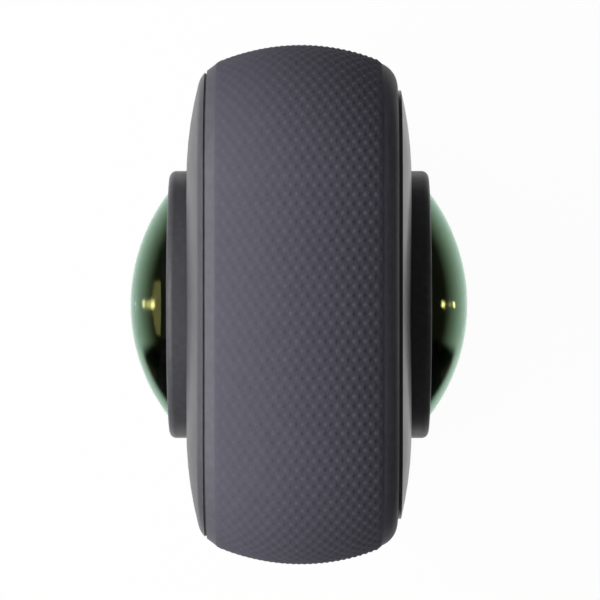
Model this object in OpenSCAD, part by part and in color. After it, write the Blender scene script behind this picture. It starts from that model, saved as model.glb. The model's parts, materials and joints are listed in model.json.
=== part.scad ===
// Bar-shaped 360 degree camera with a fisheye lens on each face, standing on its tripod foot.
// Origin: centre of the foot, at the mouth of the tripod thread. +Z runs up the body,
// -Y is the front (screen side), +Y is the rear, +X is the port side, -X is the battery side.

/* [Body] */
// Width of the body across the side bands, at the roots of the grip texture
body_w = 45.9; // [44:0.1:52]
// Height of the body from its foot to its top
body_h = 112.85; // [110:0.05:124]
// Distance between the front face and the rear face
body_t = 20; // [19.6:0.1:22]
// Corner radius of the body seen from the front
body_corner_r = 11.85; // [11:0.05:13]
// Crown radius of the side band across its width
side_crown_r = 18.35; // [17:0.05:26]
// Width of the textured side band
band_w = 14.6; // [14.2:0.1:15]
// Wall of the side frame at the middle of the band
frame_wall = 3.05; // [3:0.05:3.5]
// Depth cut flat from the band to make the foot
foot_cut = 0.65; // [0.5:0.05:0.9]
// Crown radius of the two faces towards their edges
face_crown_r = 34; // [30:1:50]

/* [Covers] */
// Thickness of the front cover at its middle
front_cover_t = 1.85; // [1.7:0.05:2]
// Inset of the front cover's outline from the body's outline
front_inset = 2.15; // [2:0.05:2.5]
// Radius of the front cover's rounded edge
front_edge_r = 2.2; // [1.9:0.1:2.6]
// Width of the fine seam between the front cover and the frame
seam_w = 0.2; // [0.15:0.05:0.3]
// Depth of that seam
seam_d = 0.4; // [0.3:0.05:0.5]
// Thickness of the rear cover at its middle
rear_cover_t = 2.3; // [2.1:0.1:2.5]
// Inset of the rear cover's outline from the body's outline
rear_inset = 3.9; // [3.8:0.05:4.2]
// Height of the frame's rear lip above the rear cover's seat
rear_lip_h = 1.05; // [0.9:0.05:1.15]
// Width of the ledge that carries the rear cover
ledge_w = 2.2; // [1.8:0.1:2.6]
// Thickness of that ledge
ledge_t = 1; // [0.8:0.1:1.1]
// Shadow gap round the rear cover and the loose panels
panel_gap = 0.25; // [0.2:0.05:0.35]
// Depth of the front cover's locating lip
lip_h = 1.2; // [0.8:0.1:1.4]
// Thickness of the front cover's locating lip
lip_t = 1.1; // [0.8:0.1:1.3]

/* [Lenses] */
// Distance of the lens axis below the top
lens_drop = 22.85; // [22.5:0.05:25]
// Outer radius of a lens ring
lens_ring_r = 12.2; // [11.8:0.1:12.6]
// Height of a lens ring above the face
lens_ring_h = 1.8; // [1.6:0.1:2]
// Rounded edge of a lens ring
lens_ring_edge_r = 0.75; // [0.5:0.05:0.9]
// Radius of the collar that passes through the cover
lens_collar_r = 11.4; // [11.1:0.1:11.6]
// Edge radius of a glass dome
dome_r = 10.4; // [10.2:0.1:10.6]
// Height of a glass dome above its ring
dome_h = 3.6; // [3.2:0.1:3.9]
// Thickness of a glass dome at its tip
dome_t = 1.2; // [1:0.1:1.4]
// Depth of the dome's straight edge in its ring
dome_edge_h = 1.2; // [1:0.1:1.4]
// Width of the ledge that a dome sits on
dome_seat_w = 1; // [0.8:0.1:1.2]
// Outer radius of a lens barrel
barrel_r = 9; // [8.6:0.1:9.2]
// Radius of the second lens element
second_lens_r = 6.5; // [6:0.1:6.8]
// Height of the second element's dome
second_lens_h = 1.8; // [1.5:0.1:2]
// Radius of the field lens
field_lens_r = 4.5; // [4:0.1:4.9]
// Side of a square sensor board
sensor_board_w = 19; // [18.4:0.2:20]
// Thickness of a sensor board
sensor_board_t = 0.9; // [0.8:0.1:1]
// Width of an image sensor
sensor_w = 8; // [7:0.2:8.4]
// Thickness of an image sensor
sensor_t = 1; // [0.8:0.1:1.2]
// Thickness of the bracket plate between the lens modules
bracket_t = 2; // [1.6:0.1:2.2]

/* [Screen and shutter] */
// Radius of the round screen glass
screen_r = 15.5; // [14.5:0.1:16]
// Height of the screen's centre as a share of the body's height
screen_share = 0.46; // [0.45:0.005:0.47]
// Thickness of the screen glass
screen_glass_t = 1; // [0.8:0.05:1.1]
// Recess of the glass below the front face
screen_recess = 0.25; // [0.2:0.05:0.3]
// Radius of the display panel behind the glass
display_r = 14.6; // [13.8:0.1:14.8]
// Thickness of the display panel
display_t = 1.6; // [1.4:0.1:1.7]
// Radius of the shutter button
shutter_r = 5.5; // [5:0.1:5.8]
// Height of the shutter button as a share of the body's height
shutter_share = 0.2; // [0.195:0.005:0.21]
// Height of the shutter button above the front face
shutter_proud = 0.3; // [0.2:0.05:0.5]
// Travel of the shutter button
shutter_travel = 0.5; // [0.3:0.05:0.6]
// Width of the metal trim round the shutter button
shutter_trim_w = 1; // [0.8:0.1:1.2]
// Radius of a status light pipe
light_r = 0.8; // [0.6:0.1:1]

/* [Port side] */
// Length of the power button
power_len = 9; // [8:0.2:10]
// Width of the power button
power_w = 3.6; // [3.2:0.1:4]
// Height of the power button as a share of the body's height
power_share = 0.54; // [0.53:0.005:0.55]
// Travel of the power button
power_travel = 0.4; // [0.3:0.05:0.5]
// Height of the port door's hinge as a share of the body's height
door_share = 0.22; // [0.21:0.005:0.225]
// Length of the port door above its hinge
door_len = 17; // [16.4:0.2:18]
// Width of the port door
door_w = 7.6; // [7.2:0.1:7.8]
// Thickness of the port door at its middle
door_t = 1.8; // [1.7:0.05:1.9]
// Depth of the door's hinge pin below the top of the crown
door_pin_depth = 1.3; // [1.2:0.05:1.4]
// Radius of the door's hinge pin
door_pin_r = 0.35; // [0.3:0.05:0.4]
// Opening angle of the port door
door_angle = 100; // [80:5:100]

/* [Battery] */
// Distance of the battery cover's upper end below the lens axis
pack_drop = 21; // [19:0.5:26]
// Height of the battery cover's lower end above the foot
pack_z = 13; // [12.5:0.1:13.5]
// Width of the battery cover across the band
pack_w = 12.4; // [12:0.1:12.6]
// Thickness of the battery case
pack_t = 9.2; // [8.8:0.1:9.4]
// Wall of the battery case
pack_wall = 0.8; // [0.6:0.1:1]
// Depth of the battery cover at the middle of the crown
pack_cover_t = 1.9; // [1.8:0.05:2]
// Thickness of the battery's rubber seal
pack_seal_t = 0.3; // [0.2:0.05:0.4]
// Length of a battery latch
latch_len = 9; // [8:0.2:10]
// Width of a battery latch
latch_w = 5; // [4.6:0.1:5.4]
// Reach of a latch into the frame
latch_reach = 1.2; // [1:0.1:1.3]
// Travel of a battery latch
latch_travel = 1.3; // [1.1:0.1:1.5]

/* [Inside] */
// Thickness of the main board
board_t = 0.8; // [0.7:0.1:0.9]
// Gap from the front cover to the main board
board_gap = 1.75; // [1.7:0.05:1.8]
// Wall of the battery bay
bay_wall = 0.8; // [0.7:0.05:0.9]
// Clearance of the battery in its bay
bay_clear = 0.15; // [0.1:0.05:0.2]
// Length of the memory card
card_len = 15; // [14.6:0.1:15.2]
// Width of the memory card
card_w = 11; // [10.6:0.1:11.2]
// Thickness of the memory card
card_t = 1; // [0.8:0.1:1.1]
// Push travel of the memory card
card_travel = 0.6; // [0.4:0.1:0.8]

/* [Tripod thread] */
// Radius of the quarter inch thread at its minor diameter
thread_r = 2.55; // [2.5:0.01:2.63]
// Depth of the thread
thread_depth = 6.5; // [5.5:0.1:7]
// Radius of the threaded insert's body
insert_r = 4.2; // [3.9:0.1:4.4]
// Radius of the insert's flange
insert_flange_r = 5.2; // [5:0.1:5.3]
// Thickness of the insert's flange
insert_flange_t = 1; // [0.8:0.1:1.2]

/* [Hidden] */
$fn = 64;
// Slip clearance of a part that moves in a hole, and the overshoot of a cut
slip = 0.1;
over = 1;

// Body outline: corner centres, and distances from the middle plane
core_x = body_w / 2 - body_corner_r;
core_low = body_corner_r - foot_cut;
core_high = body_h - body_corner_r;
side_x = body_w / 2;
inner_x = side_x - frame_wall;
face_y = body_t / 2;
band_y = band_w / 2;
front_seam_y = face_y - front_cover_t;
rear_seat_y = face_y - rear_cover_t;
rear_lip_y = rear_seat_y + rear_lip_h;

// Distances from the axis of a corner
frame_in_r = body_corner_r - frame_wall;
front_rim_r = body_corner_r - front_inset;
rear_rim_r = body_corner_r - rear_inset;
rear_lip_r = rear_rim_r + panel_gap;
ledge_in_r = rear_rim_r - ledge_w;
band_edge_r = body_corner_r - crown_drop(band_y);
rear_round_r = cap_sphere(band_edge_r - rear_lip_r, rear_lip_y - band_y);
rear_round_end = asin((band_edge_r - rear_lip_r) / rear_round_r);
rear_round_steps = 8;

// Lens module, measured from the middle plane along the lens axis
lens_z = body_h - lens_drop;
bracket_y = bracket_t / 2;
sensor_board_y = bracket_y + sensor_board_t;
dome_base_y = face_y + lens_ring_h;
dome_seat_y = dome_base_y - dome_edge_h;
dome_tip_y = dome_base_y + dome_h;
dome_sphere_r = cap_sphere(dome_r, dome_h);
dome_inner_r = dome_r - dome_seat_w;
dome_inner_h = dome_tip_y - dome_t - dome_seat_y;
dome_inner_sphere_r = cap_sphere(dome_inner_r, dome_inner_h);
collar_tail = 1;
collar_low_y = front_seam_y - collar_tail;
barrel_top_y = dome_seat_y - slip;
barrel_step = 0.8;
barrel_head_h = 4;
second_lens_lift = 0.4;
second_lens_y = barrel_top_y + second_lens_lift;
second_lens_t = 3;
second_lens_seat = 0.6;
field_lens_gap = 1.4;
field_lens_y = sensor_board_y + sensor_t + field_lens_gap;
field_lens_t = 1.8;
barrel_bore_r = second_lens_r - second_lens_seat;
bracket_rim = 3.5;
bracket_low = lens_z - sensor_board_w / 2 - bracket_rim;
bracket_high = core_high;
lug_w = 4.2;
lug_t = 2.4;
lug_x = inner_x - lug_w / 2;
lug_z = [bracket_low + lug_w / 2, bracket_high - lug_w / 2];
screw_r = 0.7;
screw_head_r = 1.4;
screw_head_h = 0.8;

// Screen and main board stack behind the front cover
glass_y = face_y - screen_recess;
glass_back_y = glass_y - screen_glass_t;
display_back_y = glass_back_y - display_t;
board_front_y = front_seam_y - board_gap;
board_back_y = board_front_y - board_t;
board_x = inner_x - lip_t - 3 * slip;
screen_z = body_h * screen_share;
shutter_z = body_h * shutter_share;
board_tail = 3;
board_head = 1.5;
board_low = shutter_z - shutter_r - board_tail;
board_high = bracket_low - board_head;
board_hole_edge = 2.4;
board_hole_x = board_x - board_hole_edge;
board_hole_z = [board_low + board_hole_edge, board_high - board_hole_edge];
boss_r = 1.8;
connector_w = 10;
connector_h = 4;
connector_drop = 2.6;
shield_w = 18;
shield_h = 18;
shutter_flange_w = 0.8;
shutter_flange_r = shutter_r + shutter_flange_w;
shutter_flange_t = 0.6;
shutter_trim_r = shutter_r + slip + shutter_trim_w;
shutter_trim_t = 0.7;
switch_gap = 0.05;
switch_t = front_seam_y - slip - shutter_flange_t - shutter_travel - switch_gap - board_front_y;
switch_r = 2.2;
front_light_z = (screen_z - screen_r + shutter_z + shutter_trim_r) / 2;
mic_z = (lens_z - lens_ring_r + screen_z + screen_r) / 2;
rear_light_drop = 4;
rear_light_z = mic_z - rear_light_drop;
mic_hole_r = 0.5;
mic_size = [3.6, 1, 2.8];

// Battery bay, cover and latches on the battery side
bay_ledge_gap = 0.2;
bay_rear_y = rear_seat_y - ledge_t - bay_ledge_gap;
pack_rear_y = bay_rear_y - bay_wall - bay_clear;
pack_front_y = pack_rear_y - pack_t;
bay_front_y = pack_front_y - bay_clear - bay_wall;
pack_mid_y = (pack_front_y + pack_rear_y) / 2;
pack_top = lens_z - pack_drop;
pack_under_x = side_x - pack_cover_t;
pack_floor_x = pack_under_x - pack_seal_t;
case_inset = 3;
case_low = pack_z + case_inset;
case_high = pack_top - case_inset;
socket_wall = 0.3;
socket_end_x = inner_x - slip;
card_x = socket_end_x - socket_wall - slip - card_travel - card_len;
card_guard = 0.4;
bay_end_x = card_x - card_guard;
case_end_x = bay_end_x - card_guard;
cell_gap = 0.2;
latch_ends = [1, -1];
latch_base_t = 0.5;
latch_wing = 0.8;
latch_recess = 0.15;
contact_rise = 8;
contact_z = case_low + contact_rise;
contact_pitch = 2.6;
contact_count = 4;
contact_size = [0.3, 3, 1.6];
contact_pin_r = 0.5;
contact_block_x = 3;
contact_block_w = 2;
contact_block_rim = 0.5;
contact_block_low = contact_z - contact_pitch / 2 - contact_block_rim;
contact_block_h = contact_pitch * contact_count + 2 * contact_block_rim;
contact_pin_reach = 2;
seal_inset = 0.2;

// Port side: side board, port, power switch, card socket
door_z = body_h * door_share;
door_top = door_z + door_len;
door_axis_x = side_x - door_pin_depth;
door_in_x = side_x - door_t;
door_y = door_w / 2;
door_sweep = hinge_drop(door_angle, door_pin_depth) + panel_gap;
port_rise = 9.2;
port_z = door_z + port_rise;
port_w = 9;
port_h = 3.2;
port_wall = 0.3;
port_depth = 7.4;
port_proud = 0.2;
port_mouth_x = inner_x + port_proud;
port_hole_rim = 1;
port_hole_w = port_w + 2 * port_hole_rim;
port_hole_h = port_h + 2 * port_hole_rim;
door_floor_gap = 0.3;
port_floor_x = door_in_x - door_floor_gap;
tongue_recess = 1.2;
notch_r = 1.3;
notch_w = 3.6;
notch_out = 0.6;
notch_up = 0.2;
tongue_t = 0.7;
tongue_w = 6.7;
seal_t = 0.6;
seal_clear = 0.3;
side_board_y = port_h / 2;
side_board_t = 0.8;
power_z = body_h * power_share;
side_board_gap = 0.4;
side_board_edge = 1.8;
side_board_tail = 4;
side_board_x = [bay_end_x + bay_wall + side_board_gap, inner_x - side_board_edge];
side_board_z = [door_z - side_board_tail, power_z + side_board_tail];
power_flange = 0.6;
power_flange_t = 0.8;
power_switch_x = inner_x - slip - power_flange_t - power_travel - slip;
power_switch_size = [2.6, 3.2, 5];
card_port_gap = 1.5;
card_z = port_z + (port_w + card_w) / 2 + card_port_gap;
card_y = side_board_y - card_guard - card_t;
speaker_size = [9.6, 3.6, 14];
speaker_rise = 6;
speaker_z = port_z + speaker_rise;
speaker_slot = [6, 0.9];
speaker_slot_pitch = 2.2;
spreader_t = 0.8;
spreader_gap = 1;
spreader_high = min(case_high, mic_z - mic_size[2]);
antenna_size = [18, 9, 0.3];

// Tripod insert and the boss of the frame round it
insert_len = thread_depth + 1;
boss_rim = 0.8;
boss_x = insert_flange_r + 2 * boss_rim;
boss_y = insert_flange_r + boss_rim;

// Drop of the side crown at a distance from the middle plane
function crown_drop(y) = side_crown_r - sqrt(side_crown_r * side_crown_r - y * y);

// Reach of an opened door's outer face below its hinge, at the frame's outer surface
function hinge_drop(angle, depth) =
  depth * sin(angle) - (depth - depth * cos(angle)) * cos(angle) / sin(angle);

// Sphere radius of a cap with a given base radius and height
function cap_sphere(base_r, height) = (base_r * base_r + height * height) / (2 * height);

// Centre of the edge round that touches the face crown inside and passes through the rim
function edge_centre(rim_r, seat_y) =
  let (
    crown_y = face_y - face_crown_r,
    reach = face_crown_r - front_edge_r,
    to_rim = [rim_r, seat_y - crown_y],
    span = norm(to_rim),
    along = (reach * reach - front_edge_r * front_edge_r + span * span) / (2 * span),
    across = sqrt(reach * reach - along * along),
    unit = to_rim / span
  ) [unit[0] * along - unit[1] * across, crown_y + unit[1] * along + unit[0] * across];

// Box between two corners
module box(low, high) {
  translate(low) cube(high - low);
}

// Cylinder along X, Y or Z between two stations
module rod_x(x0, x1, y, z, r) {
  translate([x0, y, z]) rotate([0, 90, 0]) cylinder(h = x1 - x0, r = r);
}

module rod_y(x, y0, y1, z, r) {
  translate([x, y0, z]) rotate([-90, 0, 0]) cylinder(h = y1 - y0, r = r);
}

module rod_z(x, y, z0, z1, r) {
  translate([x, y, z0]) cylinder(h = z1 - z0, r = r);
}

// Round-ended bar across X, long in Z
module stadium_x(x0, x1, y, z, length, width) {
  reach = (length - width) / 2;
  for (end = [-1, 1]) rod_x(x0, x1, y, z + end * reach, width / 2);
  box([x0, y - width / 2, z - reach], [x1, y + width / 2, z + reach]);
}

// Profile swept round the body's outline: profile X is the distance from a corner axis, profile Y is Y
module around_edge() {
  corners = [
    [core_x, core_high, -90], [core_x, core_low, 0], [-core_x, core_low, 90], [-core_x, core_high, 180]
  ];
  for (corner = corners)
    translate([corner[0], 0, corner[1]]) rotate([-90, 0, 0]) rotate([0, 0, corner[2]])
      rotate_extrude(angle = 90) children();
  for (side = [0, 1])
    mirror([side, 0, 0]) translate([core_x, 0, core_low]) linear_extrude(core_high - core_low) children();
  translate([core_x, 0, core_high]) rotate([0, -90, 0]) linear_extrude(2 * core_x) children();
  translate([-core_x, 0, core_low]) rotate([0, 90, 0]) linear_extrude(2 * core_x) children();
}

// The body's own crowned envelope, solid between two stations of Y
module body_envelope(y0, y1) {
  around_edge() intersection() {
    translate([body_corner_r - side_crown_r, 0]) circle(r = side_crown_r);
    translate([0, y0]) square([body_corner_r + over, y1 - y0]);
  }
  box([-core_x, y0, core_low], [core_x, y1, core_high]);
}

// Stands a lens piece on the lens axis, its own Z pointing away from the middle plane
module on_lens_axis(side) {
  translate([0, 0, lens_z]) rotate([-90 * side, 0, 0]) children();
}

// Section of the side frame: crowned band, front chamfer, rounded rear edge and cover ledge
module frame_profile() {
  rear_round = [for (step = [1 : rear_round_steps - 1])
    let (angle = rear_round_end * (1 - step / rear_round_steps))
      [rear_lip_r + rear_round_r * sin(angle), rear_lip_y - rear_round_r * (1 - cos(angle))]];
  intersection() {
    translate([body_corner_r - side_crown_r, 0]) circle(r = side_crown_r);
    polygon(concat(
      [[frame_in_r, -front_seam_y], [front_rim_r, -front_seam_y], [band_edge_r, -band_y]],
      [[body_corner_r + over, -band_y], [body_corner_r + over, band_y], [band_edge_r, band_y]],
      rear_round, [[rear_lip_r, rear_lip_y], [rear_lip_r, rear_seat_y], [ledge_in_r, rear_seat_y]],
      [[ledge_in_r, rear_seat_y - ledge_t], [frame_in_r, rear_seat_y - ledge_t]]
    ));
  }
}

// Room for the battery cover, its case and its latches in the frame
module battery_cutout() {
  half_w = pack_w / 2 + panel_gap;
  box([-side_x - over, -half_w, pack_z - panel_gap], [-pack_floor_x, half_w, pack_top + panel_gap]);
  box(
    [-side_x - over, pack_front_y - bay_clear, case_low - bay_clear],
    [-inner_x + over, pack_rear_y + bay_clear, case_high + bay_clear]
  );
  half_latch = latch_w / 2 + panel_gap;
  reach = latch_reach + panel_gap;
  box([-side_x - over, -half_latch, pack_z - reach], [-pack_floor_x, half_latch, pack_top + reach]);
}

// Room for the port door, its hinge and a plug in the frame
module door_cutout() {
  half_w = door_y + panel_gap;
  box([port_floor_x, -half_w, door_z - door_sweep], [side_x + over, half_w, door_top + panel_gap]);
  stadium_x(inner_x - over, side_x, 0, port_z, port_hole_w, port_hole_h);
  rod_y(door_axis_x, -half_w, half_w, door_z, door_pin_depth + panel_gap);
  rod_y(door_axis_x, -half_w - over, half_w + over, door_z, door_pin_r);
}

// Side frame: the band that the covers, lens bracket and tripod insert are fixed to
module side_frame() color("#55545c") difference() {
  union() {
    around_edge() frame_profile();
    box([-boss_x, -boss_y, frame_wall / 2], [boss_x, boss_y, insert_len]);
    for (x = [-lug_x, lug_x], z = lug_z)
      box([x - lug_w / 2, bracket_y, z - lug_w / 2], [x + lug_w / 2, bracket_y + lug_t, z + lug_w / 2]);
  }
  box([-side_x, -face_y, -foot_cut - over], [side_x, face_y, 0]);
  rod_z(0, 0, -over, insert_len + over, insert_r);
  rod_z(0, 0, -over, insert_flange_t, insert_flange_r);
  for (x = [-lug_x, lug_x], z = lug_z) rod_y(x, bracket_y - over, bracket_y + lug_t + over, z, screw_r);
  battery_cutout();
  door_cutout();
  stadium_x(inner_x - over, side_x + over, 0, power_z, power_len + 2 * slip, power_w + 2 * slip);
}

// Solid slab of a cover from its seat to the crowned face, with a rounded front edge or a plain rear edge
module cover_slab(rim_r, seat_y, rounded) {
  round_at = edge_centre(rim_r, seat_y);
  touch_r = round_at[0] * face_crown_r / (face_crown_r - front_edge_r);
  around_edge() difference() {
    intersection() {
      translate([0, face_y - face_crown_r]) circle(r = face_crown_r, $fn = 128);
      translate([0, seat_y]) square([rim_r, body_t]);
      union() {
        translate([0, seat_y]) square([rounded ? touch_r : rim_r, body_t]);
        if (rounded) translate(round_at) circle(r = front_edge_r);
      }
    }
    if (rounded) translate([rim_r - seam_d, seat_y - over]) square([seam_d + over, seam_w + over]);
  }
  box([-core_x, seat_y, core_low], [core_x, face_y, core_high]);
}

// Front cover: pillowed shell with the lens, screen and shutter openings, a locating lip and board bosses
module front_cover() color("#4e4d54") mirror([0, 1, 0]) difference() {
  union() {
    cover_slab(front_rim_r, front_seam_y, true);
    around_edge() translate([frame_in_r - slip - lip_t, front_seam_y - lip_h]) square([lip_t, lip_h]);
    for (x = [-board_hole_x, board_hole_x], z = board_hole_z)
      rod_y(x, board_front_y, front_seam_y, z, boss_r);
  }
  rod_y(0, collar_low_y - over, face_y + over, lens_z, lens_collar_r + slip / 2);
  rod_y(0, glass_back_y, face_y + over, screen_z, screen_r + slip);
  rod_y(0, front_seam_y - over, face_y + over, screen_z, display_r + slip);
  rod_y(0, front_seam_y - over, face_y + over, shutter_z, shutter_r + slip);
  rod_y(0, face_y - shutter_trim_t, face_y + over, shutter_z, shutter_trim_r);
  rod_y(0, front_seam_y - over, face_y + over, front_light_z, light_r);
  rod_y(0, front_seam_y - over, face_y + over, mic_z, mic_hole_r);
  for (x = [-board_hole_x, board_hole_x], z = board_hole_z)
    rod_y(x, board_front_y - over, front_seam_y, z, screw_r);
}

// Rear cover: inset pillowed panel with the lens, light, microphone and speaker openings
module rear_cover() color("#4e4d54") difference() {
  cover_slab(rear_rim_r, rear_seat_y, false);
  rod_y(0, collar_low_y - over, face_y + over, lens_z, lens_collar_r + slip / 2);
  rod_y(0, rear_seat_y - over, face_y + over, rear_light_z, light_r);
  rod_y(0, rear_seat_y - over, face_y + over, mic_z, mic_hole_r);
  for (row = [-1, 0, 1])
    translate([speaker_x(), 0, speaker_z + row * speaker_slot_pitch]) rotate([0, 0, 90])
      speaker_slot_cut();
}

// Middle of the speaker across the body
function speaker_x() = (side_board_x[0] + side_board_x[1]) / 2;

// One round-ended speaker slot, cut along the speaker's own axis
module speaker_slot_cut() {
  reach = (speaker_slot[0] - speaker_slot[1]) / 2;
  for (end = [-1, 1])
    rod_x(rear_seat_y - over, face_y + over, end * reach, 0, speaker_slot[1] / 2);
  box(
    [rear_seat_y - over, -reach, -speaker_slot[1] / 2],
    [face_y + over, reach, speaker_slot[1] / 2]
  );
}

// Lens ring: flange on the face, collar through the cover, seat for the glass dome
module lens_ring(side) color("#3f3f45") on_lens_axis(side) rotate_extrude() difference() {
  union() {
    translate([dome_inner_r, collar_low_y])
      square([lens_collar_r - dome_inner_r, face_y - collar_low_y + over]);
    translate([dome_inner_r, face_y])
      square([lens_ring_r - dome_inner_r, lens_ring_h - lens_ring_edge_r]);
    translate([dome_inner_r, face_y]) square([lens_ring_r - lens_ring_edge_r - dome_inner_r, lens_ring_h]);
    translate([lens_ring_r - lens_ring_edge_r, face_y + lens_ring_h - lens_ring_edge_r])
      circle(r = lens_ring_edge_r);
  }
  translate([0, dome_seat_y]) square([dome_r, body_t]);
}

// Glass dome: meniscus with a straight edge that drops into the lens ring
module lens_dome(side) color("#9fc2ad", 0.5) on_lens_axis(side) difference() {
  intersection() {
    translate([0, 0, dome_tip_y - dome_sphere_r]) sphere(r = dome_sphere_r);
    translate([0, 0, dome_seat_y]) cylinder(h = body_t, r = dome_r);
  }
  translate([0, 0, dome_seat_y + dome_inner_h - dome_inner_sphere_r]) sphere(r = dome_inner_sphere_r);
}

// Lens barrel: stepped tube from the sensor board to the dome
module lens_barrel(side) color("#1b1b1e") on_lens_axis(side) difference() {
  union() {
    translate([0, 0, sensor_board_y]) cylinder(h = barrel_top_y - sensor_board_y, r = barrel_r - barrel_step);
    translate([0, 0, barrel_top_y - barrel_head_h]) cylinder(h = barrel_head_h, r = barrel_r);
  }
  translate([0, 0, sensor_board_y - over]) cylinder(h = body_t, r = barrel_bore_r);
  translate([0, 0, second_lens_y - second_lens_t]) cylinder(h = body_t, r = second_lens_r);
}

// Second element: domed glass seated in the top of the barrel
module second_lens(side) color("#6f7f55", 0.6) on_lens_axis(side) {
  sphere_r = cap_sphere(second_lens_r, second_lens_h);
  intersection() {
    translate([0, 0, second_lens_y + second_lens_h - sphere_r]) sphere(r = sphere_r);
    translate([0, 0, second_lens_y - second_lens_t]) cylinder(h = body_t, r = second_lens_r);
  }
}

// Field lens: small element close to the sensor, held by its rim in the barrel's bore
module field_lens(side) color("#8b8f86", 0.6) on_lens_axis(side) {
  translate([0, 0, field_lens_y]) cylinder(h = field_lens_t / 2, r = barrel_bore_r);
  translate([0, 0, field_lens_y + field_lens_t / 2]) cylinder(h = field_lens_t / 2, r = field_lens_r);
}

// Image sensor package on its board
module image_sensor(side) color("#26303a") on_lens_axis(side)
  translate([-sensor_w / 2, -sensor_w / 2, sensor_board_y]) cube([sensor_w, sensor_w, sensor_t]);

// Sensor board between the bracket plate and the barrel
module sensor_board(side) color("#1f5a3c") on_lens_axis(side)
  translate([-sensor_board_w / 2, -sensor_board_w / 2, bracket_y])
    cube([sensor_board_w, sensor_board_w, sensor_board_t]);

// Bracket plate that carries both lens modules across the frame
module lens_bracket() color("#8d9096") difference() {
  box([-inner_x, -bracket_y, bracket_low], [inner_x, bracket_y, bracket_high]);
  for (x = [-lug_x, lug_x], z = lug_z) rod_y(x, -bracket_y - over, bracket_y + over, z, screw_r);
}

// Four screws through the bracket into the frame's lugs
module bracket_screws() color("#a8abb0")
  for (x = [-lug_x, lug_x], z = lug_z) {
    rod_y(x, -bracket_y - screw_head_h, -bracket_y, z, screw_head_r);
    rod_y(x, -bracket_y, bracket_y + lug_t, z, screw_r);
  }

// Round cover glass of the touch screen
module screen_glass() color("#0c0d10") rod_y(0, -glass_y, -glass_back_y, screen_z, screen_r);

// Round display panel behind the glass
module display_panel() color("#15161a") rod_y(0, -glass_back_y, -display_back_y, screen_z, display_r);

// Connector between the display and the main board
module display_connector() color("#2b2a28")
  box(
    [-connector_w / 2, -display_back_y, screen_z - display_r + connector_drop],
    [connector_w / 2, -board_front_y, screen_z - display_r + connector_drop + connector_h]
  );

// Shutter button: cap, retaining flange behind the cover and a stem over the switch
module shutter_button() color("#47464c") {
  rod_y(0, -face_y - shutter_proud, -front_seam_y + slip, shutter_z, shutter_r);
  rod_y(0, -front_seam_y + slip, -front_seam_y + slip + shutter_flange_t, shutter_z, shutter_flange_r);
}

// Metal trim ring round the shutter button
module shutter_trim() color("#9a9ca1") difference() {
  rod_y(0, -face_y - slip, -face_y + shutter_trim_t, shutter_z, shutter_trim_r);
  rod_y(0, -face_y - over, -face_y + shutter_trim_t + over, shutter_z, shutter_r + slip);
}

// Dome switch on the main board under the shutter button
module shutter_switch() color("#b9bbbe")
  rod_y(0, -board_front_y - switch_t, -board_front_y, shutter_z, switch_r);

// Light pipe from the cover's face to just inside it
module status_light(y0, y1, z) color("#c8d6d0") rod_y(0, y0, y1, z, light_r);

// Main board behind the screen, on the front cover's bosses
module main_board() color("#1f5a3c") difference() {
  box([-board_x, -board_front_y, board_low], [board_x, -board_back_y, board_high]);
  for (x = [-board_hole_x, board_hole_x], z = board_hole_z)
    rod_y(x, -board_front_y - over, -board_back_y + over, z, screw_r);
}

// Shield can over the processor, on the rear of the main board
module processor_shield() color("#a9acb0")
  box([-shield_w / 2, -board_back_y, case_high - shield_h], [shield_w / 2, bay_front_y - slip, case_high]);

// Four screws that hold the main board to the bosses
module board_screws() color("#a8abb0")
  for (x = [-board_hole_x, board_hole_x], z = board_hole_z) {
    rod_y(x, -board_back_y, -board_back_y + screw_head_h, z, screw_head_r);
    rod_y(x, -front_seam_y, -board_back_y, z, screw_r);
  }

// Microphone capsules behind the pinholes in the two covers
module microphones() color("#b39a58") {
  for (seat = [-front_seam_y, rear_seat_y - mic_size[1]])
    translate([-mic_size[0] / 2, seat, mic_z - mic_size[2] / 2]) cube(mic_size);
}

// Power button: crowned cap with a retaining flange behind the frame wall
module power_button() color("#47464c") {
  intersection() {
    stadium_x(inner_x - slip, side_x + over, 0, power_z, power_len, power_w);
    body_envelope(-power_w, power_w);
  }
  stadium_x(
    inner_x - slip - power_flange_t, inner_x - slip, 0, power_z,
    power_len + 2 * power_flange, power_w + 2 * power_flange
  );
}

// Side-push switch on the side board behind the power button
module power_switch() color("#b9bbbe")
  translate([
    power_switch_x - power_switch_size[0],
    side_board_y - power_switch_size[1],
    power_z - power_switch_size[2] / 2
  ]) cube(power_switch_size);

// Side board that carries the port, the card socket and the power switch
module side_board() color("#1f5a3c")
  box(
    [side_board_x[0], side_board_y, side_board_z[0]],
    [side_board_x[1], side_board_y + side_board_t, side_board_z[1]]
  );

// Metal shell of the charging port, open towards the door
module usb_port() color("#b4b7bb") difference() {
  stadium_x(port_mouth_x - port_depth, port_mouth_x, 0, port_z, port_w, port_h);
  stadium_x(
    port_mouth_x - port_depth + port_wall, port_mouth_x + over, 0, port_z,
    port_w - 2 * port_wall, port_h - 2 * port_wall
  );
}

// Contact tongue in the middle of the port
module usb_tongue() color("#202124")
  box(
    [port_mouth_x - port_depth + port_wall, -tongue_t / 2, port_z - tongue_w / 2],
    [port_mouth_x - tongue_recess, tongue_t / 2, port_z + tongue_w / 2]
  );

// Port door: crowned flap with a round hinge end and a nail notch at its free end
module port_door() color("#55545c") difference() {
  intersection() {
    union() {
      box([door_in_x, -door_y, door_z], [side_x + over, door_y, door_top]);
      rod_y(door_axis_x, -door_y, door_y, door_z, door_pin_depth);
    }
    body_envelope(-door_y - over, door_y + over);
  }
  rod_y(door_axis_x, -door_y - over, door_y + over, door_z, door_pin_r + slip / 2);
  rod_y(side_x + notch_out, -notch_w / 2, notch_w / 2, door_top + notch_up, notch_r);
}

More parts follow.
